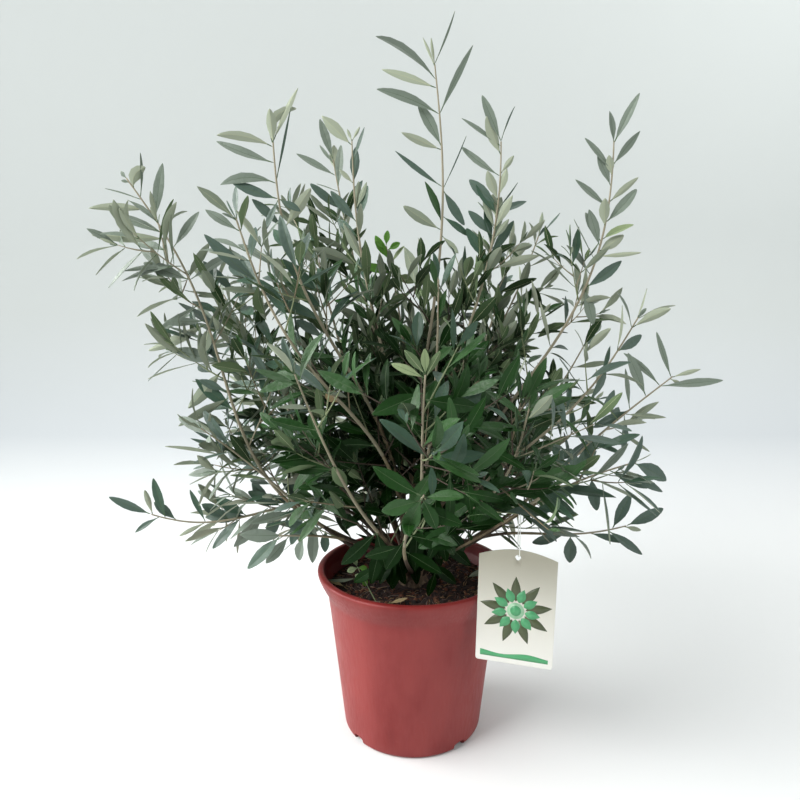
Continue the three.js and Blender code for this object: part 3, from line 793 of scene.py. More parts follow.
def raised(tree, height, depth_mm, strength=1.0, below=None):
    """A bump of depth_mm where height goes from 0 to 1, on top of another."""
    inputs = {"Height": height, "Distance": depth_mm * MM, "Strength": strength}
    if below is not None:
        inputs["Normal"] = below
    return add_node(tree, "ShaderNodeBump", inputs).outputs["Normal"]


def finish_of(material, tree, shader, **inputs):
    """Gives the shader its numbers, colours and links, and returns the material."""
    for name, value in inputs.items():
        socket = shader.inputs[name.replace("_", " ")]
        if isinstance(value, bpy.types.NodeSocket):
            tree.links.new(value, socket)
        elif isinstance(value, str):
            socket.default_value = linear(value)
        else:
            socket.default_value = value
    return material


def moulded_polypropylene():
    """Injection-moulded polypropylene, terracotta red: a waxy satin skin with a faint flow mottle,
    painted shade that darkens it over the collar under the lip, a dusting of dry peat that is thinned
    with that painted shade, and scuffs from stacking that dull the gloss in streaks down the side."""
    material, tree, shader, place = start_finish("moulded_polypropylene")
    flow = grain(tree, place, 46, detail=4, stretch=(1, 1, 0.45))
    dust = grain(tree, place, 5, detail=5, roughness=0.7)
    scuff = grain(tree, place, 2.2, detail=3, stretch=(1, 1, 0.06))
    # Painted shade: from 164 mm up, over the collar and lip, the flow tone is pushed down the ramp, and
    # the dust is thinned with it.
    painted_lip_shade = graded(tree, height_in(tree, place), 1.0, 0.74, 0.164, 0.184)
    stops = [(0.2, "#6e1a18"), (0.36, "#7c2725"), (0.52, "#84302e"), (0.72, "#8b3532")]
    clean = tinted(tree, product(tree, flow, painted_lip_shade), stops)
    dusty = graded(tree, product(tree, dust, painted_lip_shade), 0.0, 0.5, 0.6, 0.8)
    blend = {"Fac": dusty, "Color1": clean, "Color2": linear("#8f443e")}
    skin = raised(tree, grain(tree, place, 1.1, detail=2), 0.05)
    bump = raised(tree, scuff, 0.08, 0.6, below=skin)
    return finish_of(
        material, tree, shader,
        Base_Color=add_node(tree, "ShaderNodeMixRGB", blend).outputs["Color"],
        Roughness=graded(tree, scuff, 0.38, 0.58),
        IOR=1.49,
        Specular_IOR_Level=0.36,
        Normal=bump,
    )


def damp_peat():
    """Peat-based potting compost, damp: near black with rusty crumbs and a rough broken top."""
    material, tree, shader, place = start_finish("damp_peat")
    crumb = grain(tree, place, 6, detail=6, roughness=0.7)
    fine = grain(tree, place, 1.6, detail=4, roughness=0.65)
    stops = [(0.3, "#191110"), (0.48, "#2c1e1a"), (0.6, "#402a23"), (0.78, "#563c32")]
    bump = raised(tree, fine, 0.8, 0.9, below=raised(tree, crumb, 2.0, 0.8))
    return finish_of(
        material, tree, shader,
        Base_Color=tinted(tree, crumb, stops),
        Roughness=graded(tree, fine, 0.85, 1.0),
        Normal=bump,
    )


def peat_bit(name, code):
    """A crumb or fibre of peat, dry and matt, of one plain colour."""
    material, tree, shader, place = start_finish(name)
    fine = grain(tree, place, 0.9, detail=3)
    return finish_of(
        material, tree, shader,
        Base_Color=code,
        Roughness=graded(tree, fine, 0.8, 1.0),
        Normal=raised(tree, fine, 0.3),
    )


def old_olive_bark():
    """Old olive bark: dry, grey-brown, split into short upright plates with dark seams between."""
    material, tree, shader, place = start_finish("old_olive_bark")
    plate = grain(tree, place, 7, detail=5, roughness=0.65, stretch=(1, 1, 0.35), distortion=0.6)
    fleck = grain(tree, place, 1.5, detail=4, roughness=0.6)
    stops = [(0.34, "#2f2620"), (0.45, "#55473a"), (0.58, "#75644f"), (0.74, "#938470")]
    bump = raised(tree, fleck, 0.3, 0.8, below=raised(tree, plate, 1.6, 0.9))
    return finish_of(
        material, tree, shader,
        Base_Color=tinted(tree, plate, stops),
        Roughness=graded(tree, fleck, 0.78, 0.95),
        Normal=bump,
    )


def young_olive_bark(name, old, low, middle, high):
    """Young olive bark: smooth and thin, tan to grey-green, with pale corky dots, and darker with age
    near the stump."""
    material, tree, shader, place = start_finish(name)
    patch = grain(tree, place, 14, detail=3)
    dots = grain(tree, place, 1.3, detail=2)
    age = graded(tree, height_in(tree, place), 0.38, 1.0, 0.205, 0.3)
    stops = [(0.22, old), (0.36, low), (0.5, middle), (0.68, high)]
    return finish_of(
        material, tree, shader,
        Base_Color=tinted(tree, product(tree, patch, age), stops),
        Roughness=graded(tree, dots, 0.6, 0.82),
        Normal=raised(tree, dots, 0.18, 0.8),
    )


def twig_skin(name, code):
    """A side twig's skin, one plain colour: satin, with the fine corky dots of its stem."""
    material, tree, shader, place = start_finish(name)
    dots = grain(tree, place, 1.3, detail=2)
    return finish_of(
        material, tree, shader,
        Base_Color=code,
        Roughness=graded(tree, dots, 0.6, 0.8),
        Normal=raised(tree, dots, 0.12, 0.8),
    )


def waxed_leaf(name, code, gloss, shine):
    """The upper side of an olive leaf: a leathery, waxed skin that gives a broad cool shine, with
    shallow pores and a slight swell between its veins."""
    material, tree, shader, place = start_finish(name)
    swell = grain(tree, place, 5.5, detail=4)
    pores = grain(tree, place, 0.7, detail=2)
    bump = raised(tree, pores, 0.04, 0.7, below=raised(tree, swell, 1.1, 0.9))
    return finish_of(
        material, tree, shader,
        Base_Color=code,
        Roughness=graded(tree, swell, gloss - 0.1, gloss + 0.12),
        IOR=1.45,
        Specular_IOR_Level=shine,
        Normal=bump,
    )


def scaled_leaf(name, code):
    """The underside of an olive leaf: a felt of tiny silvery scales, matt, pale and soft at the rim."""
    material, tree, shader, place = start_finish(name)
    felt = grain(tree, place, 0.8, detail=3)
    swell = grain(tree, place, 3.5, detail=2)
    return finish_of(
        material, tree, shader,
        Base_Color=code,
        Roughness=graded(tree, felt, 0.74, 0.9),
        Specular_IOR_Level=0.25,
        Sheen_Weight=0.05,
        Sheen_Roughness=0.5,
        Normal=raised(tree, felt, 0.03, 0.8, below=raised(tree, swell, 0.12, 0.8)),
    )


def laminated_card():
    """Printed card under a clear film: warm white, greyed towards its top by painted shade, satin, and a
    little wavy from the damp."""
    material, tree, shader, place = start_finish("laminated_card")
    wave = grain(tree, place, 38, detail=1)
    fibre = grain(tree, place, 1.2, detail=3)
    # Painted shade: the card's colour greys from its foot to its top.
    top = (TAG_CENTRE[2] + TAG_HEIGHT / 2) * MM
    foot = (TAG_CENTRE[2] - TAG_HEIGHT / 2) * MM
    shade = graded(tree, height_in(tree, place), 0.0, 1.0, foot, top)
    stops = [(0.0, "#e4e3dc"), (0.55, "#d3d1c5"), (1.0, "#b3af9d")]
    return finish_of(
        material, tree, shader,
        Base_Color=tinted(tree, shade, stops),
        Roughness=graded(tree, fibre, 0.3, 0.42),
        IOR=1.5,
        Normal=raised(tree, wave, 0.6, 0.5),
    )


def printing_ink(name, code):
    """Printing ink under the card's clear film: one plain colour, satin."""
    material, tree, shader, place = start_finish(name)
    fibre = grain(tree, place, 1.2, detail=3)
    return finish_of(
        material, tree, shader,
        Base_Color=code,
        Roughness=graded(tree, fibre, 0.3, 0.42),
        IOR=1.5,
        Normal=raised(tree, fibre, 0.02),
    )


def nylon_strand():
    """Clear nylon gone milky: pale, smooth and fairly glossy, with faint drawing lines."""
    material, tree, shader, place = start_finish("nylon_strand")
    line = grain(tree, place, 0.9, detail=2, stretch=(1, 1, 0.1))
    return finish_of(
        material, tree, shader,
        Base_Color="#eef0ea",
        Roughness=graded(tree, line, 0.28, 0.42),
        IOR=1.53,
        Normal=raised(tree, line, 0.03),
    )


def studio_paper():
    """Matt studio paper, near white on the floor and greyed by painted shade where it climbs the wall.
    """
    material, tree, shader, place = start_finish("studio_paper")
    cloud = grain(tree, place, 420, detail=2)
    # Painted shade: the paper's colour darkens with height up the wall.
    climb = graded(tree, height_in(tree, place), 0.0, 1.0, 0.0, 0.5)
    stops = [(0.0, "#e7e9e8"), (0.35, "#c3c8ca"), (1.0, "#bfc4c2")]
    return finish_of(
        material, tree, shader,
        Base_Color=tinted(tree, climb, stops),
        Roughness=graded(tree, cloud, 0.86, 0.94),
        Specular_IOR_Level=0.2,
    )


PEAT_BITS = [
    peat_bit("peat_bit_black", "#1f1613"),
    peat_bit("peat_bit_rust", "#5d3826"),
    peat_bit("peat_bit_straw", "#8d7453"),
    peat_bit("peat_bit_grey", "#73645c"),
]
OLD_BARK = old_olive_bark()
BOUGH_BARK = young_olive_bark("young_olive_bark", "#362b21", "#635541", "#7b6d53", "#93876c")
BROWN_SKIN, TAN_SKIN, GREEN_SKIN, OLD_SKIN = range(4)
TWIG_SKINS = [
    twig_skin("twig_skin_brown", "#71674f"),
    twig_skin("twig_skin_tan", "#8d8670"),
    twig_skin("twig_skin_green", "#76805c"),
    twig_skin("twig_skin_old", "#43372b"),
]
# Upper sides from the heart of the crown to its edge, and then those of their own kind: fresh, bright
# and dry. Undersides likewise, the shaded one for the heart; then the rib. The dark tints of the heart
# are partly the older leaves' own colour and partly painted shade, and the pale grey ones at the edge
# are partly the leaves' own grey-green and partly painted sheen.
UPPER_SIDES = [
    waxed_leaf("waxed_leaf_deep", "#0b2705", 0.44, 0.12),
    waxed_leaf("waxed_leaf_dark", "#193b12", 0.42, 0.24),
    waxed_leaf("waxed_leaf_green", "#2e5027", 0.43, 0.38),
    waxed_leaf("waxed_leaf_bluish", "#385341", 0.44, 0.46),
    waxed_leaf("waxed_leaf_slate", "#4a5d52", 0.46, 0.46),
    waxed_leaf("waxed_leaf_sage", "#717d70", 0.5, 0.42),
    waxed_leaf("waxed_leaf_fresh", "#82926a", 0.5, 0.4),
    waxed_leaf("waxed_leaf_bright", "#588a30", 0.5, 0.4),
    waxed_leaf("waxed_leaf_dry", "#a08d6a", 0.6, 0.3),
]
UNDERSIDES = [
    scaled_leaf("scaled_leaf_shaded", "#2f4426"),
    scaled_leaf("scaled_leaf_olive", "#5f7250"),
    scaled_leaf("scaled_leaf_grey", "#838d7a"),
    scaled_leaf("scaled_leaf_silver", "#979f8b"),
]
LEAF_RIB = twig_skin("leaf_rib", "#4a603d")
RAISED_RIB = twig_skin("leaf_rib_below", "#a3a885")
LEAF_FINISHES = [LEAF_RIB, *UPPER_SIDES, *UNDERSIDES, RAISED_RIB]
OWN_TINTS = {tint: len(UPPER_SIDES) - 3 + n for n, tint in enumerate((FRESH, BRIGHT, DRY))}
# The way out from the crown's heart at which one tint gives way to the next.
UPPER_EDGES = [0.42, 0.56, 0.68, 0.78, 0.94]
UNDER_EDGES = [0.5, 0.78, 1.0]

# ---------------------------------------------------------------- the trunk


def trunk_radius(share):
    """The trunk's radius at a share of its height: a root flare that dies away, and a swollen head."""
    flare = (TRUNK_FOOT_RADIUS - TRUNK_WAIST_RADIUS) * np.exp(-share * 7)
    head = (TRUNK_HEAD_RADIUS - TRUNK_WAIST_RADIUS) * np.sin(np.pi * share**1.6)
    return TRUNK_WAIST_RADIUS + flare + head


def trunk_middle(height):
    """The trunk's middle at a height above its foot: it leans by the square of its height."""
    height = np.asarray(height, float)
    lean = -TRUNK_LEAN * (height / TRUNK_HEIGHT) ** 2
    return np.stack([lean, 0 * height, SOIL_TOP + GAP + height], -1)


def make_trunk():
    """The stump as rings over its height: its radius, times a rounding of the head, times three and
    five slow knuckles round it, less upright seams whose depth wanders with height."""
    rows, sides = 90, 120
    share = np.linspace(0, 1, rows)
    turn = np.arange(sides) * 2 * np.pi / sides
    s, t = share[:, None], turn[None, :]
    shoulder = np.sqrt(np.clip(1 - ((s - 0.68) / 0.36) ** 2, 0, 1))
    rounding = np.where(s > 0.68, mix(shoulder, 1, 0.15), 1)
    knuckle = 1 + 0.09 * np.sin(3 * t + 4 * s) + 0.05 * np.cos(5 * t - 7 * s)
    seams = np.abs(np.sin(9 * t + 2.2 * np.sin(7 * s + 2 * t) + 1.3 * np.sin(19 * s)))
    plates = np.abs(np.sin(23 * s + 1.7 * np.sin(4 * t) + 0.9 * np.sin(11 * t + 3 * s)))
    relief = -1.5 * (1 - seams) ** 3 - 0.7 * (1 - plates) ** 4
    radius = trunk_radius(s) * rounding * knuckle + relief
    rings = np.stack([radius * np.cos(t), radius * np.sin(t), 0 * radius], -1)
    points, faces = capped(rings + trunk_middle(share * TRUNK_HEIGHT)[:, None])
    place_piece(write_mesh("trunk_bark", points, faces, [OLD_BARK]), "old_bark", "trunk")


# ---------------------------------------------------------------- the shoots' courses


def course_of(shoot):
    """A shoot's course from foot (0) to tip (1): a straight chord, bowed by one sine and bent in S by
    a double one below it, swept sideways by a sine, and its tip leaning away by the share's fourth
    power. It takes an array of shares."""
    heading, reach, rise, bow, bend, sweep, foot_heading, inset, foot_height = shoot[1:10]
    tip_lean = np.array(TIP_LEAN.get(shoot[0], (0, 0, 0)), float)
    outward = across_from(heading)
    left = across_from(heading + 90)
    foot = trunk_middle(foot_height) + inset * across_from(foot_heading)
    chord = outward * reach + UP * rise - foot
    below = np.cross(left, unit(chord))

    def course(share):
        share = np.asarray(share, float)[..., None]
        dip = bow * np.sin(np.pi * share) + bend * np.sin(2 * np.pi * share)
        sideways = left * (sweep * np.sin(np.pi * share)) + tip_lean * share**4
        return foot + chord * share + below * dip + sideways

    return course


def ways_on(course, share):
    """The unit directions of a course at shares of it."""
    share = np.asarray(share, float)
    return unit(course(share + 0.002) - course(share - 0.002))


def length_of(course, start, end):
    """The length of a course between two shares of it."""
    places = course(np.linspace(start, end, 25))
    return float(np.linalg.norm(np.diff(places, axis=0), axis=1).sum())


COURSES = [course_of(shoot) for shoot in SHOOTS]
TRACES = [c(np.linspace(0, 1, max(2, round(length_of(c, 0, 1) / 14)) + 1)) for c in COURSES]

# ---------------------------------------------------------------- each mass's own space


def on_tag(places):
    """Places in the card's own frame (X along its width, Y through it, Z up) in the part's frame."""
    tilt, turn = math.radians(-TAG_TILT_DEG), math.radians(TAG_TURN_DEG)
    about_y = [[math.cos(tilt), 0, math.sin(tilt)], [0, 1, 0], [-math.sin(tilt), 0, math.cos(tilt)]]
    about_z = [[math.cos(turn), -math.sin(turn), 0], [math.sin(turn), math.cos(turn), 0], [0, 0, 1]]
    return places @ (np.array(about_z) @ np.array(about_y)).T + TAG_CENTRE


HOLE_PLACE = on_tag(np.array([0, 0, TAG_HEIGHT / 2 + TAG_ARCH - HOLE_DROP]))
TAG_SHOOT = [shoot[0] for shoot in SHOOTS].index("tag_bough")


def loop_top():
    """Where the loop hangs: the point of the tag's bough nearest the hole's own X and Y."""
    places = COURSES[TAG_SHOOT](np.linspace(0, 1, 400))
    return places[np.argmin(np.linalg.norm(places[:, :2] - HOLE_PLACE[:2], axis=1))]


LOOP_TOP = loop_top()


def clear_of_pot(places):
    """True where a place is clear of the soil, the pot's rim and the trunk."""
    radius = np.linalg.norm(places[..., :2], axis=-1)
    height = places[..., 2]
    over_pot = radius < RIM_RADIUS + CLEARANCE
    over_rim = over_pot & (radius > RIM_RADIUS - LIP_WIDTH - 2 * CLEARANCE)
    in_soil = over_pot & (height < SOIL_TOP + CLEARANCE)
    in_rim = over_rim & (height < POT_HEIGHT + CLEARANCE)
    in_trunk = (radius < TRUNK_FOOT_RADIUS) & (height < SOIL_TOP + TRUNK_HEIGHT)
    return ~(in_soil | in_rim | in_trunk)


def above_underside(places):
    """True where a place is above the crown's underside, which rises towards the front and over the
    pot's mouth, so that the trunk and the rim show under it, and hangs in clumps by a slow wave."""
    x, y, z = np.moveaxis(places, -1, 0)
    over_mouth = OPEN_RISE * ((np.abs(x) < RIM_RADIUS + 8) & (y < RIM_RADIUS / 2))
    slope = UNDERSIDE_SLOPE * np.maximum(-y, 0) - BACK_SLOPE * np.maximum(y, 0)
    wave = np.sin(x / 15 + 2 * np.sin(y / 31)) * np.sin(y / 21 + 1.4 * np.sin(x / 37))
    return z > UNDERSIDE + slope + over_mouth + UNDERSIDE_WAVE * wave


def clear_of_tag(places):
    """True where a place is clear of the card, the way in front of it, and the loop."""
    turn = math.radians(-TAG_TURN_DEG)
    x, y, z = np.moveaxis(places - TAG_CENTRE, -1, 0)
    along = x * math.cos(turn) - y * math.sin(turn)
    through = x * math.sin(turn) + y * math.cos(turn)
    across_card = np.abs(along) < TAG_WIDTH / 2 + CLEARANCE
    under_arch = z < TAG_HEIGHT / 2 + TAG_ARCH + CLEARANCE
    near_card = (through < 3 * CLEARANCE) & (through > -2.3 * TAG_WIDTH)
    beside = np.linalg.norm(places[..., :2] - LOOP_TOP[:2], axis=-1)
    by_loop = (beside < LOOP_HALF_WIDTH + CLEARANCE) & (places[..., 2] < LOOP_TOP[2] + 5 * CLEARANCE)
    return ~((across_card & under_arch & near_card) | by_loop)


def in_the_open(places):
    """True where a place is in none of the clearings."""
    taken = [((places > low) & (places < high)).all(-1) for low, high in np.array(CLEARINGS)]
    return ~np.any(taken, axis=0)


def in_box(places):
    """True where a place is inside the solids' own box."""
    low, high = np.array(CAD_BOX) / MM
    return ((places > low + 1) & (places < high - 1)).all(-1)


def from_front(places):
    """Where places stand as seen from the front, across and up over their distance, and that."""
    x, y, z = np.moveaxis(places - np.array(CAMERA_PLACE) / MM, -1, 0)
    return np.stack([x / y, z / y], -1), y


def shown_line():
    """Points close together along the stems that show from the front, and along the tag's loop."""
    lines = [np.linspace(HOLE_PLACE, LOOP_TOP, 12)]
    for shoot, course in zip(SHOOTS, COURSES):
        if shoot[0] in BARE_FRONT:
            share = np.arange(0.1, BARE_FRONT[shoot[0]], 6 / length_of(course, 0, 1))
            lines.append(course(share))
    return np.concatenate(lines)


SHOWN_SPOTS, SHOWN_AWAY = from_front(shown_line())


def before_a_stem(skins):
    """True for each leaf that stands right in front of a stem that shows."""
    spots, away = from_front(skins[:, 1::2, [0, 2, 5]].reshape(len(skins), -1, 3))
    gaps = np.abs(spots[..., None, :] - SHOWN_SPOTS).max(-1)
    return ((gaps < SIGHT) & (away[..., None] < SHOWN_AWAY - SIGHT_DEPTH)).any((1, 2))


def nearest_on(trace, places):
    """The distance from each place to the nearest point of a trace."""
    gaps = np.linalg.norm(places[..., None, :] - trace, axis=-1)
    return gaps.min(-1)


def in_own_space(index, places, margin=SPACE_MARGIN):
    """True for each row of places that stays near its own stem and no nearer any other, within a
    margin that may differ from row to row."""
    distances = np.stack([nearest_on(trace, places) for trace in TRACES])
    own = distances[index]
    others = np.delete(distances, index, axis=0).min(0)
    inside = (own < SPACE_REACH) & (others > own + np.reshape(margin, (-1, 1)))
    clear = clear_of_pot(places) & clear_of_tag(places) & above_underside(places)
    return (inside & clear & in_the_open(places) & in_box(places)).all(-1)


# ---------------------------------------------------------------- leaves

STATIONS = np.array([0.0, 0.05, 0.12, 0.25, 0.42, 0.6, 0.78, 0.91, 0.975, 1.0])
# Across a leaf: the two edges, the half-way lines and the two sides of the rib on top, then the two
# sides of the rib underneath.
COLUMNS = np.array([-1.0, -0.55, -0.06, 0.06, 0.55, 1.0, 0.06, -0.06])


def way_out(places):
    """The share of the way from the crown's heart to its edge, in a barrel-shaped crown whose dark
    leaves come further out at the front and the back than at the sides. The leaf tints follow it: darker
    towards the heart partly as painted shade, and paler on the narrowed skirt as painted light."""
    x, y, z = np.moveaxis(places, -1, 0)
    skirt = SKIRT_NARROWING * np.clip((SKIRT_TOP - z) / 90, 0, 1)
    across = np.hypot(x / (CROWN_RADIUS - skirt), y / CROWN_DEPTH)
    return np.hypot(across, (z - CROWN_HEART) / CROWN_HALF_HEIGHT)


def leaf_rows(start, end, length, seed, key, pitch, size, closing=True):
    """Opposite leaves up a leafy stretch of a course, as one row of numbers for each leaf. Pair n of
    count stands at (n + 0.55) / count of the stretch and a quarter turn on from the last; its spread
    closes towards the tip, where a close pair and a small upright pair end the stem."""
    count = max(1, round(length / pitch))
    pair = np.repeat(np.arange(count), 2)
    turn = np.tile([0.0, np.pi], count)
    height = (pair + 0.55) / count
    own = PLAY_KEYS + key * 2 + 2 * pair + (turn > 0)
    play = chance(seed, own) - 0.5
    more_play = chance(seed, own + 311) - 0.5
    spread = mix(LOW_SPREAD_DEG, HIGH_SPREAD_DEG, height**1.5) + SPREAD_PLAY_DEG * play
    roll = np.pi / 2 * pair + 0.9 * chance(seed, key + pair) + turn + 0.7 * more_play
    vigour = 0.82 + 0.34 * chance(seed, key + pair + SIZE_KEY + turn)
    sizes = size * vigour * (1 - 0.3 * height**3)
    rows = {
        "share": mix(start, end, height),
        "roll": roll,
        "spread": np.radians(spread),
        "size": sizes,
        "key": own,
    }
    if not closing:
        return rows
    # The tip: two nearly closed leaves, and two small ones between them.
    tip_roll = 2 * np.pi * chance(seed, key + TIP_KEY) + np.array([0, np.pi, 1.7, 1.7 + np.pi])
    tip_spread = np.array([32, 16, 12, 20]) + 14 * (chance(seed, key + TIP_KEY + np.arange(4)) - 0.5)
    tip = {
        "share": np.full(4, 0.995 * end),
        "roll": tip_roll,
        "spread": np.radians(tip_spread),
        "size": size * np.array([0.74, 0.56, 0.3, 0.22]),
        "key": own[-1] + 2 + np.arange(4),
    }
    return {kind: np.concatenate([rows[kind], tip[kind]]) for kind in rows}


def set_leaves(course, rows, seed, droop, spray):
    """Where each leaf stands and which way it goes: it leaves the stem at its roll and spread, strays
    and sinks a little, and turns its upper side to the stem's tip and to the light above and outside
    the crown. Its tints follow the way out from the crown's heart, shifted for the whole spray: darker
    towards the heart, partly for the older leaves there and partly as painted shade, and paler and
    greyer towards the edge, partly as painted sheen."""
    ways = ways_on(course, rows["share"])
    level = unit(np.cross(ways, UP) + 1e-6)
    back = np.cross(ways, level)
    play = chance(seed, rows["key"][:, None] + 1000 * np.arange(1, 17))
    roll, spread = rows["roll"][:, None], rows["spread"][:, None]
    out = level * np.cos(roll) + back * np.sin(roll)
    sink = UP * droop * (0.3 + 1.4 * play[:, 3:4])
    root = course(rows["share"])
    high = np.clip((root[:, 2:] - TOP_FROM) / TOP_RUN, 0, 1)
    top = high * np.clip(1.6 - np.abs(root[:, :1]) / TOP_RUN, 0, 1)
    stray = STRAY * (play[:, :3] - 0.5) + TOP_LIFT * top * UP
    heading = unit(ways * np.cos(spread) + out * np.sin(spread) - sink + stray)
    away = unit(root * np.array([1, 1, 0]) + 1e-6)
    light = 0.8 * UP + away + 0.9 * (play[:, 4:7] - 0.5)
    inner = unit(ways - heading * dot(ways, heading))
    face = 0.5 * inner + 0.9 * unit(light - heading * dot(light, heading))
    face = unit(face - heading * dot(face, heading))
    depth = way_out(root)
    length = rows["size"] * (1 - HEART_SHORTNESS * np.clip(1.4 - 1.6 * depth, 0, 1))
    slimness = mix(HEART_SLIMNESS, EDGE_SLIMNESS, np.clip(depth, 0, 1)) * (0.86 + 0.3 * play[:, 7])
    shown = depth + 0.32 * (spray - 0.5) + 0.26 * (play[:, 8] - 0.5)
    return {
        "root": root,
        "heading": heading,
        "face": face,
        "length": length,
        "width": length / slimness * (LEAF_LENGTH / length) ** 0.25,
        "arch": 0.8 * (play[:, 9] - 0.3),
        "sway": 0.5 * (play[:, 10] - 0.5),
        "twist": 1.0 * (play[:, 11] - 0.5),
        "fold": 0.12 + 0.5 * play[:, 12],
        "belly": 0.95 + 0.35 * play[:, 13],
        "blunt": 0.6 + 0.4 * play[:, 14],
        "upper": np.searchsorted(UPPER_EDGES, shown),
        "under": np.searchsorted(UNDER_EDGES, shown + 0.8 * (play[:, 15] - 0.5)),
    }


def leaves_by_hand(table, course, seed):
    """Leaves that are set one by one from a table of rows, in the same terms as the rest."""
    share, lean, length, width = np.array([row[:4] for row in table], float).T
    look = np.array([row[4] for row in table])
    sway = np.array([row[5] for row in table], float)
    play = chance(seed, PLAY_KEYS + 31 * np.arange(len(share))[:, None] + 1000 * np.arange(8))
    lean = np.radians(lean)
    forward = 0.5 * (play[:, 0] - 0.5)
    heading = unit(np.stack([np.sin(lean), forward, np.cos(lean)], -1))
    root = course(share)
    to_front = np.array([0.0, -1.0, 0.0])
    edge_on = np.cross(heading, to_front) + 0.5 * to_front
    under = (look == UNDER)[:, None]
    face = np.where(under, -to_front, to_front) + 0.3 * UP * ~under + 1.1 * (play[:, 1:4] - 0.5)
    face = np.where((look == EDGE)[:, None], edge_on, face)
    face = unit(face - heading * dot(face, heading))
    depth = way_out(root) + 0.2 * (play[:, 4] - 0.5)
    # Painted light: leaves set on the skirt's sides get pale tints at random; the rest take the tint of
    # their way out, darker towards the heart partly as painted shade.
    skirt_painted_light = (root[:, 2] < SKIRT_TOP) & (np.abs(root[:, 0]) > 0.4 * CROWN_RADIUS)
    shown = np.where(skirt_painted_light, 0.7 + 0.28 * play[:, 5], depth - 0.02)
    upper = np.searchsorted(UPPER_EDGES, shown)
    return {
        "root": root,
        "heading": heading,
        "face": face,
        "length": length,
        "width": width,
        "arch": 0.3 * (play[:, 5] - 0.4),
        "sway": np.where(look == UNDER, -sway, sway),
        "twist": 0.3 * (play[:, 6] - 0.5),
        "fold": 0.2 + 0.35 * play[:, 7],
        "belly": 1.0 + 0.2 * play[:, 4],
        "blunt": 0.55 + 0.3 * play[:, 1],
        "upper": np.array([OWN_TINTS.get(side, tint) for side, tint in zip(look, upper)]),
        "under": np.searchsorted(UNDER_EDGES, depth + 0.1),
    }


def together(sprays):
    """Several sets of leaves as one."""
    return {kind: np.concatenate([spray[kind] for spray in sprays]) for kind in sprays[0]}


def leaf_skins(leaves):
    """Every leaf as a ring of eight points at each station from root to tip. The rib's direction
    turns by the leaf's arch and sway as it goes, and its points are the running sum of that; the
    half width is a sine of a power of the share, itself to a power that falls towards the tip, so that
    the blade narrows into its stalk and ends round; the halves rise from the rib by the fold and curl
    down again at the edge; the section twists on its way."""
    share = STATIONS[None, :, None]
    heading, face = leaves["heading"][:, None], leaves["face"][:, None]
    side = np.cross(heading, face)
    arch = leaves["arch"][:, None, None] * share**1.4
    sway = leaves["sway"][:, None, None] * share
    way = heading * np.cos(sway) + side * np.sin(sway)
    way = unit(way * np.cos(arch) - face * np.sin(arch))
    up = unit(face * np.cos(arch) + heading * np.sin(arch))
    up = unit(up - way * dot(up, way))
    steps = np.diff(STATIONS)[None, :, None] * leaves["length"][:, None, None]
    run = np.cumsum((way[:, 1:] + way[:, :-1]) / 2 * steps, axis=1)
    rib = leaves["root"][:, None] + np.concatenate([np.zeros_like(run[:, :1]), run], axis=1)
    twist = leaves["twist"][:, None, None] * share
    cross = np.cross(way, up)
    cross, up = cross * np.cos(twist) + up * np.sin(twist), up * np.cos(twist) - cross * np.sin(twist)
    # Half widths: the stalk, then the blade.
    length, width = leaves["length"][:, None], leaves["width"][:, None]
    stalk = np.minimum(PETIOLE / length, 0.2)
    blade = np.clip((STATIONS[None] - stalk * 0.6) / (1 - stalk * 0.6), 0, 1)
    power = mix(1.1, leaves["blunt"][:, None], blade)
    half = width / 2 * np.maximum(np.sin(np.pi * blade ** leaves["belly"][:, None]), 0) ** power
    half = np.maximum(half, PETIOLE_WIDTH / 2 * (1 - STATIONS[None] * 0.85))
    column = COLUMNS[None, None, :]
    rib_half = RIB_WIDTH / 2 * (1 - 0.7 * STATIONS[None, :, None])
    offset = np.where(np.abs(column) < 0.1, np.sign(column) * rib_half, column * half[..., None])
    fold = leaves["fold"][:, None, None]
    rise = np.abs(offset) * fold - 0.3 * fold * np.abs(column) ** 3 * half[..., None]
    thick = np.where(np.abs(column) < 0.99, LEAF_THICK / 2, 0.02)
    thick = np.broadcast_to(thick * np.array([1, 1, 0.8, 0.8, 1, 1, -1.9, -1.9]), offset.shape)
    points = rib[:, :, None] + cross[:, :, None] * offset[..., None]
    return points + up[:, :, None] * (rise + thick)[..., None]


def leaf_faces():
    """One leaf's faces over its rings and two poles, and each face's kind: 0 stalk and rib, 1 upper
    side, 2 underside, 3 the rib under it."""
    rows, columns = len(STATIONS) - 2, len(COLUMNS)
    across = np.array([1, 1, 0, 1, 1, 2, 3, 2])
    kinds = np.tile(across, rows - 1)
    kinds[:columns] = 0
    foot, head = np.zeros(columns, int), np.where(across == 0, 1, across)
    faces = np.concatenate([woven(rows, columns), tipped(rows, columns)])
    return faces, np.concatenate([kinds, foot, head])


LEAF_FACES, LEAF_KINDS = leaf_faces()


def leaf_mesh(leaves, keep):
    """The kept leaves' points, faces and finishes."""
    rings = leaf_skins(leaves)[keep]
    count = len(rings)
    poles = rings[:, [0, -1]].mean(2)
    points = np.concatenate([rings[:, 1:-1].reshape(count, -1, 3), poles], axis=1)
    per_leaf = points.shape[1]
    faces = np.where(LEAF_FACES >= 0, LEAF_FACES + np.arange(count)[:, None, None] * per_leaf, -1)
    upper = 1 + leaves["upper"][keep]
    under = 1 + len(UPPER_SIDES) + leaves["under"][keep]
    slots = np.stack([np.zeros(count, int), upper, under, np.full(count, len(LEAF_FINISHES) - 1)])
    return points.reshape(-1, 3), faces.reshape(-1, 4), slots[LEAF_KINDS].T.ravel()


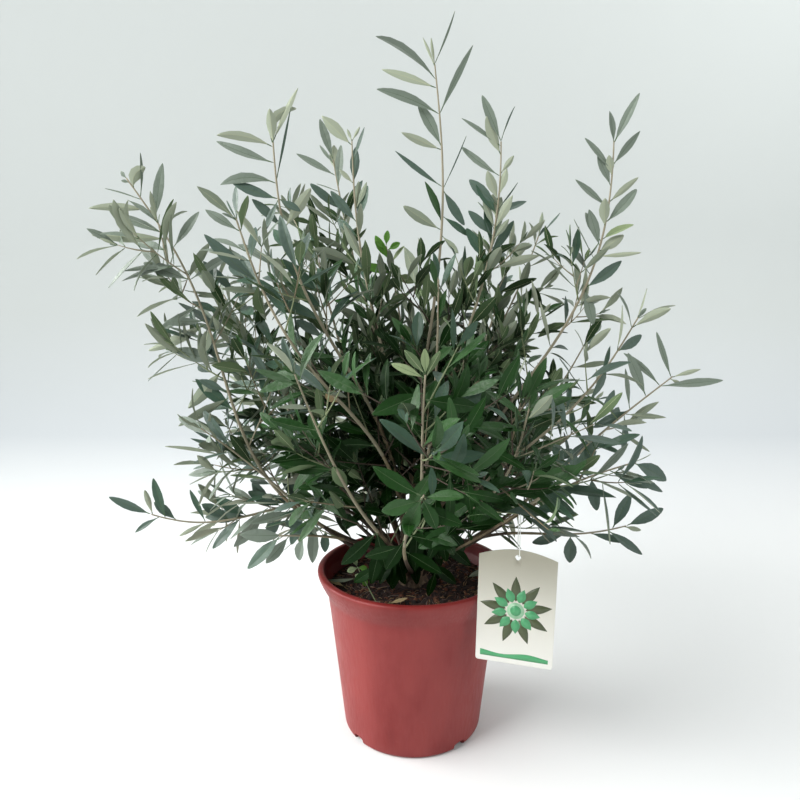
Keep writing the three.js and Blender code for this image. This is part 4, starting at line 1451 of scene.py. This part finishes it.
def sharpen_margins(mesh):
    """Marks the leaves' margins as sharp, so that the two sides shade apart: the edges whose ends are
    in the same outer column of one leaf."""
    ends = np.empty(2 * len(mesh.edges), np.int32)
    mesh.edges.foreach_get("vertices", ends)
    blade = (len(STATIONS) - 2) * len(COLUMNS)
    corner = ends.reshape(-1, 2) % (blade + 2)
    column = corner % len(COLUMNS)
    along = (corner < blade).all(1) & (column[:, 0] == column[:, 1])
    margin = along & (np.abs(COLUMNS[column[:, 0]]) == 1)
    mesh.attributes.new("sharp_edge", "BOOLEAN", "EDGE").data.foreach_set("value", margin)


# ---------------------------------------------------------------- boughs, stems and side twigs


def bark_relief(places, sides, seed, depth):
    """Ridges along a limb and swellings round it: slow sines of the turn and the run."""
    run = np.arange(len(places))[:, None] * 1.0
    turn = (np.arange(sides) * 2 * np.pi / sides)[None, :]
    ridge = np.sin(5 * turn + 0.11 * run + seed) * np.sin(0.31 * run + 2 * turn + 3 * seed)
    knot = np.sin(0.21 * run + 5 * seed) ** 8
    return depth * (0.5 * ridge + 0.9 * knot)


def make_bough(index):
    """A bough's bark: a tube from inside the trunk to the mass, flared where it leaves the trunk."""
    name, bare = SHOOTS[index][0], SHOOTS[index][-2]
    course = COURSES[index]
    length = length_of(course, 0, bare)
    rows = max(8, round(length / 3))
    share = np.linspace(0, 1, rows)
    places = course(share * bare)
    flare = 1.6 * np.exp(-share * length / 9)
    radii = mix(BOUGH_ROOT_RADIUS, STEM_RADIUS, share**0.8) - 0.15 + flare
    relief = bark_relief(places, 14, index, 0.22)
    points, faces = tube(places, radii * THIN_BOUGHS.get(name, 1), 14, relief)
    piece = write_mesh("bark_" + name, points, faces, [BOUGH_BARK])
    place_piece(piece, "young_bark", "bough_" + name)


def stem_tube(course, start, end, foot_radius, tip_radius, step, sides, seed):
    """A leafy stem's own tube, with a slight swelling at each of its nodes."""
    length = length_of(course, start, end)
    rows = max(4, round(length / step))
    share = np.linspace(0, 1, rows)
    places = course(mix(start, end, share))
    radii = mix(foot_radius, tip_radius, share) + 0.12 * np.sin(seed + share * length / 4.6) ** 6
    return tube(places, radii, sides)


def ageing_skins(faces):
    """A skin for each face of a stem that starts at the trunk: old at its foot, then brown, then tan."""
    ring = faces.min(1) // STEM_SIDES
    steps = np.searchsorted([OLD_WOOD_RINGS, 1.4 * OLD_WOOD_RINGS], ring, side="right")
    return np.array([OLD_SKIN, BROWN_SKIN, TAN_SKIN])[steps]


def lateral_course(place, way, roll, slant, length, lift):
    """A side twig's course: it leaves its stem at a slant and curls back towards the light by the
    square of its share."""
    level = unit(np.cross(way, UP) + 1e-6)
    out = level * math.cos(roll) + np.cross(way, level) * math.sin(roll)
    heading = unit(way * math.cos(slant) + out * math.sin(slant))

    def course(share):
        share = np.asarray(share, float)[..., None]
        return place + heading * (length * share) + UP * (lift * length * share**2)

    return course


def twig_at(index, course, share, roll, slant_deg, wanted, lift, margin):
    """The longest side twig, of three tries, that stays in the mass's own space, or None. None grows
    across the front of a stem that shows."""
    place = course(share)
    way = ways_on(course, share)
    slant = math.radians(slant_deg)
    ahead = lateral_course(place, way, roll, slant, 1, 0)(1) - place
    shows = course is COURSES[index] and share < BARE_FRONT.get(SHOOTS[index][0], 0)
    if shows and ahead[1] < -0.3:
        return None
    for cut in (1, 0.75, 0.5):
        length = wanted * cut
        twig = lateral_course(place, way, roll, slant, length, lift)
        if length >= LATERAL_LEAST and in_own_space(index, twig(np.array([[0.5, 1.0]])), margin)[0]:
            return twig, length
    return None


def side_twigs(index, seed, course, bare, side_share, reach):
    """The side twigs of a mass: one each pitch up its stem, a turn on from the last, and on each long
    one two finer twigs; each as its course, length and key."""
    length = length_of(course, bare, 1)
    twigs = []
    count = round(length * side_share / LATERAL_PITCH)
    for n in range(count):
        height = 0.02 + side_share * (n + 0.5) / count
        roll = LATERAL_TURN * n + 2 * chance(seed, LATERAL_KEY + n)
        vigour = 0.8 + 0.4 * chance(seed, LATERAL_SIZE_KEY + n)
        slant = LATERAL_SLANT_DEG + 20 * (chance(seed, LATERAL_SIZE_KEY + n + 500) - 0.5)
        wanted = LATERAL_LENGTH * reach * (1 - LATERAL_TAPER * height) * vigour
        share = mix(bare, 1, height)
        found = twig_at(index, course, share, roll, slant, wanted, LATERAL_LIFT, SPACE_MARGIN)
        if found:
            twigs.append((*found, LATERAL_LEAVES_KEY + KEYS_A_STEM * n))
    for twig, run, key in [twig for twig in twigs if twig[1] > FINER_FROM]:
        for part, side in ((0.35, 1.0), (0.6, -1.0)):
            roll = 2.1 * side + 3 * chance(seed, key + 77)
            wanted = FINER_REACH * run
            found = twig_at(index, twig, part, roll, 46, wanted, LATERAL_LIFT, SPACE_MARGIN)
            if found:
                twigs.append((*found, key + FINER_KEYS))
    return twigs


def inner_twigs(index, seed, course):
    """Short leafy twigs that fill the heart of the crown, along the part of a shoot that is in it."""
    shares = np.linspace(INNER_START, 0.9, 81)
    places = course(shares)
    heart = shares[(way_out(places) < HEART_END) & (places[:, 2] < HEART_TOP)]
    end = heart.max(initial=INNER_START)
    twigs = []
    count = round(length_of(course, INNER_START, end) / INNER_PITCH)
    for n in range(count):
        share = mix(INNER_START, end, (n + 0.7) / count)
        roll = LATERAL_TURN * n + 3 * chance(seed, INNER_KEY + n)
        vigour = 0.7 + 0.6 * chance(seed, INNER_KEY + 50 + n)
        found = twig_at(index, course, share, roll, 58, INNER_LENGTH * vigour, 0.02, HEART_MARGIN)
        if found:
            twigs.append((*found, INNER_KEY + KEYS_A_STEM * n))
    return twigs


def droop_at(places):
    """How much leaves hang, from the crown's top, where they stand up, to its skirt."""
    return 0.06 + 0.55 * np.clip((430 - np.mean(places[..., 2])) / 250, 0, 1)


def living_twigs(twigs, grown):
    """True for each twig that kept a leaf, or that carries a finer twig which did."""
    carriers = {key - FINER_KEYS for (_, _, key), leaves in zip(twigs, grown) if leaves}
    return [bool(leaves) or key in carriers for (_, _, key), leaves in zip(twigs, grown)]


def grow(index):
    """A mass by the rule: its stem, then its side, finer and inner twigs, each as a tube with its
    skins; one spray of leaves for each; the twigs themselves; and how near another stem each spray
    may come."""
    seed = index + 1
    name, bare, on_bough = SHOOTS[index][0], *SHOOTS[index][-2:]
    course = COURSES[index]
    pitch, size, side_share, reach = HABIT.get(name, (NODE_PITCH, LEAF_LENGTH, SIDE_SHARE, 1.0))
    stop, end = SET_FROM.get(name, (1.0, 1.0))
    foot = STEM_RADIUS if on_bough else BOUGH_ROOT_RADIUS - 0.3
    start = bare if on_bough else 0
    stem = stem_tube(course, start, end, foot, STEM_TIP_RADIUS, 5, STEM_SIDES, seed)
    stems = [(*stem, TAN_SKIN if on_bough else ageing_skins(stem[1]))]
    rows = leaf_rows(bare, stop, length_of(course, bare, stop), seed, 0, pitch, size, stop == 1)
    sprays = [set_leaves(course, rows, seed, droop_at(course(0.8)), 0.5)]
    outer = side_twigs(index, seed, course, bare, side_share, reach)
    inner = inner_twigs(index, seed, course)
    for twig, run, key in outer + inner:
        green = chance(seed, key + 9) < 0.5
        skin = GREEN_SKIN if green else (BROWN_SKIN, TAN_SKIN)[int(2 * chance(seed, key + 10))]
        if way_out(twig(0.3)) < HEART_END and chance(seed, key + 12) < 0.75:
            skin = OLD_SKIN
        stems.append((*stem_tube(twig, 0, 1, TWIG_RADIUS, TWIG_TIP_RADIUS, 7, 6, seed + key), skin))
        rows = leaf_rows(0.08, 1, run, seed, key, TWIG_PITCH, size * 0.94)
        sprays.append(set_leaves(twig, rows, seed, droop_at(twig(0.5)), chance(seed, key + 11)))
    margins = [SPACE_MARGIN] * (1 + len(outer)) + [HEART_MARGIN] * len(inner)
    return stems, sprays, outer + inner, margins


def kept_by_rule(index, leaves, skins, margins, on_stem):
    """True for each leaf that stays in its mass's own space, and that isn't left out because it hides
    a stem that shows."""
    name = SHOOTS[index][0]
    keep = in_own_space(index, skins[:, [3, 5, 7, -1]].mean(2), margins)
    spared = chance(index + 1, 31 + np.arange(len(keep))) > SIGHT_SHARE
    keep &= ~before_a_stem(skins) | spared
    shows = COURSES[index](BARE_FRONT.get(name, 0))[2] > leaves["root"][:, 2]
    return keep & ~(on_stem & shows & (leaves["heading"][:, 1] < -0.25))


def make_mass(index):
    """A mass of foliage: what grows by the rule and stays in the mass's own space, and the leaves that
    are set one by one. A twig that keeps too few leaves is dropped with them."""
    name = SHOOTS[index][0]
    stems, sprays, twigs, margins = grow(index)
    leaves = together(sprays)
    sizes = [len(spray["length"]) for spray in sprays]
    on_stem = np.arange(sum(sizes)) < sizes[0]
    skins = leaf_skins(leaves)
    keep = kept_by_rule(index, leaves, skins, np.repeat(margins, sizes), on_stem)
    if name in SET_LEAVES:
        hand = leaves_by_hand(SET_LEAVES[name], COURSES[index], index + 1)
        leaves = together([leaves, hand])
        skins = leaf_skins(leaves)
        keep = np.concatenate([keep, np.full(len(hand["length"]), True)])
    keep &= (clear_of_pot(skins) & clear_of_tag(skins) & in_box(skins)).all((1, 2))
    grown = np.array([part.sum() for part in np.split(keep, np.cumsum(sizes))][1 : len(stems)])
    grown *= grown >= LEAST_LEAVES
    fallen = np.repeat(grown == 0, sizes[1:])
    keep[sizes[0] : sizes[0] + len(fallen)] &= ~fallen
    alive = [True, *living_twigs(twigs, grown)]
    points, faces, slots = joined([stem for stem, lives in zip(stems, alive) if lives])
    twig_piece = write_mesh("twigs_" + name, points, faces, TWIG_SKINS, slots)
    place_piece(twig_piece, "young_bark", "mass_" + name)
    points, faces, slots = leaf_mesh(leaves, keep)
    leaf_piece = write_mesh("leaves_" + name, points, faces, LEAF_FINISHES, slots)
    sharpen_margins(leaf_piece.data)
    place_piece(leaf_piece, "olive_leaves", "mass_" + name)


# ---------------------------------------------------------------- the pot and its soil

# The outside of the wall, and above it the collar, as heights and radii.
SIDE = [(3, BASE_RADIUS), (16, 89), (80, 96), (150, 104), (COLLAR_FOOT - 3, 107.2)]
COLLAR = [
    (COLLAR_FOOT + 1, 108.6),
    (186, 112.4),
    (193, 116),
    (201, RIM_RADIUS - 0.6),
    (205, RIM_RADIUS),
]
POT_SIDES = 240


def inner_radius(height):
    """The inside of the wall: it follows the side, and goes on up at the side's own slope."""
    heights = np.array([z for z, _ in SIDE])
    radii = np.array([r for _, r in SIDE])
    slope = (radii[-1] - radii[-2]) / (heights[-1] - heights[-2])
    above = np.maximum(np.asarray(height, float) - heights[-1], 0) * slope
    return np.interp(height, heights, radii) + above - WALL_THICK


def rounded(outline, cut, steps=4):
    """A closed outline whose corners are cut back by up to cut and replaced by parabolas."""
    outline = np.asarray(outline, float)
    rounded_points = []
    for before, corner, after in zip(np.roll(outline, 1, 0), outline, np.roll(outline, -1, 0)):
        first = corner + (before - corner) * min(0.45, cut / np.linalg.norm(before - corner))
        last = corner + (after - corner) * min(0.45, cut / np.linalg.norm(after - corner))
        share = np.linspace(0, 1, steps)[:, None]
        curve = first * (1 - share) ** 2 + 2 * corner * share * (1 - share) + last * share**2
        rounded_points.append(curve)
    return np.concatenate(rounded_points)


def turned(profile, sides):
    """The rings of a profile of (radius, height) points carried round the Z axis."""
    turn = np.arange(sides) * 2 * np.pi / sides
    spoke = np.stack([np.cos(turn), np.sin(turn), 0 * turn], -1)
    return profile[:, None, :1] * spoke[None] + profile[:, None, 1:] * UP


def make_pot(finish):
    """The pot's wall and base as one closed profile turned about its axis: the tapering side, the
    flared collar, the lip and the inside. It stops short of the axis, at a pinhole in the base.
    Notches are cut at its foot."""
    side = [(r, z) for z, r in SIDE]
    collar = [(r, z) for z, r in COLLAR]
    lip = RIM_RADIUS - LIP_WIDTH
    inner = [(float(inner_radius(z)), z) for z in (COLLAR_FOOT, 150, 80)]
    floor = [(float(inner_radius(BASE_THICK)) - 1, BASE_THICK), (0.4, BASE_THICK)]
    profile = (
        [(0.4, 0), (BASE_RADIUS - 3, 0)]
        + side
        + collar
        + [(RIM_RADIUS - 2, POT_HEIGHT), (lip + 1, POT_HEIGHT), (lip, POT_HEIGHT - 2), (lip - 1, 192)]
        + inner
        + floor
    )
    points, faces = looped(turned(rounded(profile, 2.2), POT_SIDES))
    pot = write_mesh("pot_wall", points, faces, [finish])
    cut_notches(pot)
    place_piece(pot, "pot_plastic", "pot")


def cut_notches(pot):
    """Cuts the drainage notches: boxes with a round top, taken out of the foot of the wall. Edges of
    over 35 degrees then shade sharp."""
    arch = np.linspace(0, np.pi, 9)
    half = NOTCH_WIDTH / 2
    top = np.stack([-half * np.cos(arch), NOTCH_HEIGHT - 3 + 3 * np.sin(arch)], -1)
    section = np.concatenate([[(-half, -4)], top, [(half, -4)]])
    boxes = []
    for n in range(NOTCHES):
        spoke = across_from(FIRST_NOTCH_DEG + 360 / NOTCHES * n)
        beside = np.cross(UP, spoke)
        reach = np.array([BASE_RADIUS + 1 + NOTCH_DEPTH, BASE_RADIUS + 1 - NOTCH_DEPTH])
        ring = beside * section[:, :1] + UP * section[:, 1:]
        boxes.append((*capped(ring[None] + (spoke * reach[:, None])[:, None]), 0))
    points, faces, _ = joined(boxes)
    cutter = write_mesh("notch_cutter", points, faces, [], smooth=False)
    cut = pot.modifiers.new("notches", "BOOLEAN")
    cut.operation = "DIFFERENCE"
    cut.object = cutter
    cut.solver = "EXACT"
    graph = bpy.context.evaluated_depsgraph_get()
    mesh = bpy.data.meshes.new_from_object(pot.evaluated_get(graph))
    pot.modifiers.clear()
    pot.data = mesh
    mesh.set_sharp_from_angle(angle=math.radians(35))
    bpy.data.objects.remove(cutter)


# How many of each lie on the compost.
CRUMBS = 620
FIBRES = 560


def make_soil():
    """The compost: rings from the floor up the wall, then a top of rings whose height is the soil's
    own, raised and sunk by sums of slow sines into lumps."""
    finish = damp_peat()
    sides = 220
    turn = np.arange(sides) * 2 * np.pi / sides
    wall_heights = np.array([BASE_THICK + GAP, 80, 150, COLLAR_FOOT, SOIL_EDGE])
    wall = np.stack([inner_radius(wall_heights) - 2 * GAP, wall_heights], -1)
    wall[0, 0] -= 1.7
    edge = wall[-1, 0]
    radius = edge - (edge - 1) * np.linspace(0, 1, 90)[1:] ** 0.9
    height = np.interp(radius, [34, 80, edge], [SOIL_TOP, SOIL_EDGE + 1.5, SOIL_EDGE])
    r, t = radius[:, None], turn[None, :]
    x, y = r * np.cos(t), r * np.sin(t)
    lumps = np.sin(0.31 * x + 1.3 * np.sin(0.17 * y)) * np.sin(0.27 * y + 1.1 * np.sin(0.23 * x))
    lumps = lumps + 0.6 * np.sin(0.83 * x + 0.7 * y + 2 * np.sin(0.4 * y)) * np.sin(0.71 * y - 0.5 * x)
    calm = np.clip((r - 26) / 10, 0, 1) * np.clip((edge - r) / 4, 0, 1)
    z = height[:, None] + 1.5 * lumps * calm
    top = np.stack([x, y, z], -1)
    points, faces = capped(np.concatenate([turned(wall, sides), top]))
    place_piece(write_mesh("compost", points, faces, [finish]), "potting_soil", "soil")


def make_crumbs(finishes):
    """Crumbs lying on the compost: six-sided lumps of three uneven rings, each at a place, size and
    turn of its own."""
    crumbs = []
    for n in range(CRUMBS):
        place, turn = spot_on_soil(n, 28, 104)
        size = 0.9 + 2.6 * chance(91, n) ** 2.5
        angle = np.arange(6) * np.pi / 3 + turn
        rings = []
        for level, width in ((-0.5, 0.7), (0.15, 1.0), (0.75, 0.5)):
            uneven = size * width * (0.75 + 0.5 * chance(92, 7 * n + np.arange(6)))
            height = 0 * angle + level * size
            ring = np.stack([uneven * np.cos(angle), uneven * np.sin(angle), height], -1)
            rings.append(place + ring)
        crumbs.append((*capped(np.array(rings)), int(chance(93, n) > 0.55)))
    points, faces, slots = joined(crumbs)
    place_piece(write_mesh("peat_crumbs", points, faces, finishes, slots), "potting_soil")


def make_fibres(finishes):
    """Fibres lying on the compost: thin tubes, arched and bent sideways by the square of the share
    along them, each at a place and turn of its own."""
    fibres = []
    share = np.linspace(-0.5, 0.5, 6)
    for n in range(FIBRES):
        place, turn = spot_on_soil(n + 2000, 28, 101)
        length = 5 + 15 * chance(94, n) ** 2
        way = np.array([math.cos(turn), math.sin(turn), 0.25 * (chance(95, n) - 0.4)])
        beside = np.array([-way[1], way[0], 0])
        bend = (share**2 * length * (chance(96, n) - 0.5))[:, None] * beside
        arch = (1.3 - 5 * share**2)[:, None] * UP * 0.7
        radii = np.full(6, 0.22 + 0.3 * chance(97, n))
        points, faces = tube(place + way * (share * length)[:, None] + bend + arch, radii, 5)
        fibres.append((points, faces, 1 + int(2.99 * chance(98, n))))
    points, faces, slots = joined(fibres)
    place_piece(write_mesh("peat_fibres", points, faces, finishes, slots), "potting_soil")


def spot_on_soil(key, inner, outer):
    """A place on the soil's top between two radii, evenly over its area, and a turn."""
    radius = math.sqrt(mix(inner**2, outer**2, float(chance(81, key))))
    turn = 2 * math.pi * float(chance(82, key))
    height = np.interp(radius, [34, 80, 104], [SOIL_TOP, SOIL_EDGE + 1.5, SOIL_EDGE])
    return np.array([radius * math.cos(turn), radius * math.sin(turn), height + 0.4]), turn * 5.3


def make_litter():
    """A few old leaves lying flat on the compost, each turned to its heading, and a seedling: a thin
    straight stem with small leaves set one by one."""
    x, y, heading, length, width = np.array([row[:5] for row in FALLEN], float).T
    look = np.array([row[5] for row in FALLEN])
    turn = np.radians(heading)
    count = len(FALLEN)
    play = chance(71, 13 * np.arange(count)[:, None] + np.arange(8))
    up = np.where(look == UNDER, -1.0, 1.0)
    lying = {
        "root": np.stack([x, y, np.full(count, SOIL_TOP + 2.2)], -1),
        "heading": np.stack([np.cos(turn), np.sin(turn), 0.06 * play[:, 0]], -1),
        "face": np.stack([0.2 * (play[:, 1] - 0.5), 0.2 * (play[:, 2] - 0.5), up], -1),
        "length": length,
        "width": width,
        "arch": -0.3 * up * play[:, 3],
        "sway": 0.5 * (play[:, 4] - 0.5),
        "twist": 0.4 * (play[:, 5] - 0.5),
        "fold": 0.1 + 0.2 * play[:, 6],
        "belly": 1 + 0.2 * play[:, 7],
        "blunt": 0.6 + 0.2 * play[:, 0],
        "upper": np.full(count, OWN_TINTS[DRY]),
        "under": np.full(count, 2),
    }
    foot, tip = np.array(SEEDLING, float)

    def course(share):
        return foot + (tip - foot) * np.asarray(share, float)[..., None]

    small = leaves_by_hand(SEEDLING_LEAVES, course, 71)
    leaves = together([lying, small])
    points, faces, slots = leaf_mesh(leaves, np.full(len(leaves["length"]), True))
    fallen = write_mesh("fallen_leaves", points, faces, LEAF_FINISHES, slots)
    sharpen_margins(fallen.data)
    place_piece(fallen, "olive_leaves")
    points, faces = tube(course(np.linspace(0, 1, 8)), np.linspace(0.7, 0.4, 8), 6)
    stem = write_mesh("seedling_stem", points, faces, [UPPER_SIDES[OWN_TINTS[FRESH]]])
    place_piece(stem, "young_bark")


# ---------------------------------------------------------------- the tag and its loop


def at_depth(outline, depth):
    """An outline of (across, up) points at a depth in the card's frame."""
    outline = np.asarray(outline, float)
    return np.stack([outline[..., 0], np.full(outline.shape[:-1], depth), outline[..., 1]], -1)


def prism(outline, front, back):
    """A flat plate between two depths in the card's frame, from an outline of (across, up) points."""
    rings = [at_depth(outline, depth) for depth in (front, back)]
    points, faces = capped(np.array(rings))
    return on_tag(points), faces


def card_outline():
    """The card: square shoulders with small round corners under a shallow arch, from the foot round."""
    half, foot, shoulder = TAG_WIDTH / 2, -TAG_HEIGHT / 2, TAG_HEIGHT / 2
    share = np.linspace(0, 1, 24)[:, None]
    right = np.array([half, shoulder])
    crown = np.array([0, shoulder + TAG_ARCH])
    bend = np.array([half * 0.45, shoulder + TAG_ARCH])
    arch = right * (1 - share) ** 2 + 2 * bend * share * (1 - share) + crown * share**2
    left_arch = arch[::-1] * np.array([-1, 1])
    corner = np.linspace(0, np.pi / 2, 6)
    round_corner = 3 * np.stack([1 - np.cos(corner), 1 - np.sin(corner)], -1)
    left_foot = np.array([-half, foot]) + round_corner
    right_foot = (np.array([half, foot]) + round_corner * np.array([-1, 1]))[::-1]
    return np.concatenate([left_foot, right_foot, arch, left_arch[1:]])


def make_tag():
    """The card with its punched hole: the outline's points are drawn in towards the hole, so that the
    front and the back are each one band of quads from edge to hole, thinner at the very edge."""
    outline = card_outline()
    hole_height = TAG_HEIGHT / 2 + TAG_ARCH - HOLE_DROP
    centre = np.array([0, hole_height])
    turn = np.arctan2(outline[:, 1] - hole_height, outline[:, 0])
    hole = centre + HOLE_RADIUS * np.stack([np.cos(turn), np.sin(turn)], -1)
    share = np.concatenate([[0, 0.004], np.linspace(0.03, 1, 14)])[:, None, None]
    sheet = outline * (1 - share) + hole * share
    half_thick = np.full(len(share), TAG_THICK / 2)
    half_thick[0] *= 0.5
    front = [at_depth(ring, -depth) for ring, depth in zip(sheet, half_thick)]
    back = [at_depth(ring, depth) for ring, depth in zip(sheet, half_thick)]
    points, faces = looped(np.array(front + back[::-1]))
    card = write_mesh("tag_card", on_tag(points), faces, [laminated_card()], smooth=False)
    place_piece(card, "tag_card", "tag")
    make_print()


def make_print():
    """A plain printed rosette: long dark petals and short green ones round a pale ring, over a low
    wavy band, each laid on the card's front by a twentieth of a millimetre."""
    dark = printing_ink("printing_ink_olive", "#4c5538")
    green = printing_ink("printing_ink_green", "#4fa06c")
    pale = printing_ink("printing_ink_pale", "#9cc9a4")
    front = -TAG_THICK / 2
    middle = np.array([0.0, 1.0])

    def petal(turn, inner, outer, width):
        """A petal's outline: a sine of its share on either side of a straight rib."""
        share = np.linspace(0, 1, 12)
        half = width / 2 * np.sin(np.pi * share**0.8)
        rib = mix(inner, outer, share)
        path = np.concatenate([np.stack([rib, -half], -1), np.stack([rib, half], -1)[-2:0:-1]])
        spoke = np.array([math.cos(turn), math.sin(turn)])
        beside = np.array([-spoke[1], spoke[0]])
        return middle + path[:, :1] * spoke + path[:, 1:] * beside

    parts = []
    for n in range(9):
        turn = 2 * math.pi * n / 9 + 0.2
        parts.append((*prism(petal(turn, 11, 40, 10.5), front - 0.05, front + 0.1), 0))
        parts.append((*prism(petal(turn + math.pi / 9, 10, 27, 10), front - 0.06, front + 0.1), 1))
    round_turn = np.linspace(0, 2 * np.pi, 49)[:-1]
    disc = np.stack([np.cos(round_turn), np.sin(round_turn)], -1)
    parts.append((*prism(middle + 9.5 * disc, front - 0.07, front + 0.1), 2))
    parts.append((*prism(middle + 6 * disc, front - 0.09, front + 0.1), 1))
    across = np.linspace(-TAG_WIDTH / 2 + 5, TAG_WIDTH / 2 - 5, 40)
    foot = -TAG_HEIGHT / 2 + 6
    crest = foot + 6 + 1.6 * np.sin(across / 9)
    lower = np.stack([across, np.full(40, foot)], -1)
    upper = np.stack([across, crest], -1)
    parts.append((*strip(lower, upper, front), 1))
    points, faces, slots = joined(parts)
    ink = write_mesh("tag_print", points, faces, [dark, green, pale], slots, smooth=False)
    place_piece(ink, "tag_card", "tag")


def strip(lower, upper, front):
    """A long thin plate between a lower and an upper edge."""
    near, far = front - 0.05, front + 0.1
    corners = ((lower, near), (upper, near), (upper, far), (lower, far))
    points, faces = capped(np.stack([at_depth(edge, depth) for edge, depth in corners], 1))
    return on_tag(points), faces


def make_loop():
    """The strand: a round wire along a tall ring, half circles above and below two straight runs."""
    bough_radius = STEM_RADIUS + 0.6
    crown = LOOP_TOP[2] + bough_radius + GAP + 2 * LOOP_WIRE
    heel = HOLE_PLACE[2] + HOLE_RADIUS - GAP - 2 * LOOP_WIRE
    straight = (crown - heel) / 2 - LOOP_HALF_WIDTH
    middle = np.array([*((LOOP_TOP + HOLE_PLACE)[:2] / 2), (crown + heel) / 2])
    arc = np.linspace(0, np.pi, 33)
    top = np.stack([0 * arc, np.cos(arc), np.sin(arc)], -1) * LOOP_HALF_WIDTH + [0, 0, straight]
    path = np.concatenate([top, -top]) + middle
    ways = unit(np.roll(path, -1, 0) - np.roll(path, 1, 0))
    thin = np.array([1.0, 0, 0])
    wide = np.cross(ways, thin)
    sides = 10
    turn = np.arange(sides) * 2 * np.pi / sides
    ring = thin * np.cos(turn)[None, :, None] + wide[:, None] * np.sin(turn)[None, :, None]
    points, faces = looped(path[:, None] + ring * LOOP_WIRE * 0.8)
    strand = write_mesh("loop_strand", points, faces, [nylon_strand()])
    place_piece(strand, "tag_loop", "tag_loop")


# ---------------------------------------------------------------- stage, light and camera


def make_stage():
    """A floor that curves up into a backdrop: a profile of floor, quarter circle and wall, carried
    across."""
    back, bend, top = 480, 760, 3200
    arc = np.linspace(0, np.pi / 2, 24)
    climb = np.stack([back + bend * np.sin(arc), bend * (1 - np.cos(arc))], -1)
    profile = np.concatenate([[(-3500, 0)], climb, [(back + bend, top)]])
    across = np.tile([-4000.0, 4000.0], len(profile))
    points = np.column_stack([across, np.repeat(profile, 2, axis=0)])
    faces = woven(len(profile), 2, ring=False)
    floor = write_mesh("studio_paper", points, faces, [studio_paper()])


def add_area(name, place, aim, size, power, spread_deg=180):
    """A round soft light at a place, turned to look at another."""
    light = bpy.data.lights.new(name, "AREA")
    light.shape = "DISK"
    light.size = size
    light.energy = power
    light.spread = math.radians(spread_deg)
    lamp = bpy.data.objects.new(name, light)
    away = unit(np.array(place, float) - np.array(aim, float))
    pitch = math.acos(away[2])
    turn = math.atan2(away[0], -away[1])
    lamp.location = place
    lamp.rotation_euler = (pitch, 0, turn)
    bpy.context.scene.collection.objects.link(lamp)


def light_studio():
    """A large key from the front left, a narrow low one on the left, a fill from the right, one above,
    a narrow one on the backdrop, and a dim even sky."""
    add_area("key_softbox", (-1.9, -1.2, 2.0), (0, 0, 0.4), 1.6, 75)
    add_area("window_softbox", (-1.8, 0.2, 0.9), (0, 0, 0.3), 1.3, 8, spread_deg=70)
    add_area("fill_softbox", (1.9, -1.2, 1.2), (0, 0, 0.35), 1.8, 19)
    add_area("top_softbox", (0.4, 0.5, 2.6), (0.1, 0, 0.3), 1.8, 19)
    add_area("wall_softbox", (1.7, -0.2, 2.3), (1.3, 1.24, 1.4), 1.0, 4.4, spread_deg=80)
    world = bpy.data.worlds.new("studio")
    world.use_nodes = True
    sky = next(node for node in world.node_tree.nodes if node.type == "BACKGROUND")
    sky.inputs["Color"].default_value = linear("#f1f4f7")
    sky.inputs["Strength"].default_value = 0.33
    bpy.context.scene.world = world


def place_camera():
    """The viewer: a level camera but for its pitch, looking along +Y."""
    lens = bpy.data.cameras.new("camera")
    lens.lens = LENS_MM
    lens.sensor_width = 36
    camera = bpy.data.objects.new("camera", lens)
    camera.location = CAMERA_PLACE
    camera.rotation_euler = (math.radians(90 - CAMERA_PITCH_DEG), 0, 0)
    bpy.context.scene.collection.objects.link(camera)
    bpy.context.scene.camera = camera


# ---------------------------------------------------------------- the whole

place_camera()
make_pot(moulded_polypropylene())
make_soil()
make_crumbs(PEAT_BITS)
make_fibres(PEAT_BITS)
make_litter()
make_trunk()
make_tag()
make_loop()
for index, shoot in enumerate(SHOOTS):
    if shoot[-1]:
        make_bough(index)
    make_mass(index)
make_stage()
light_studio()
bpy.context.scene.view_settings.view_transform = "Standard"
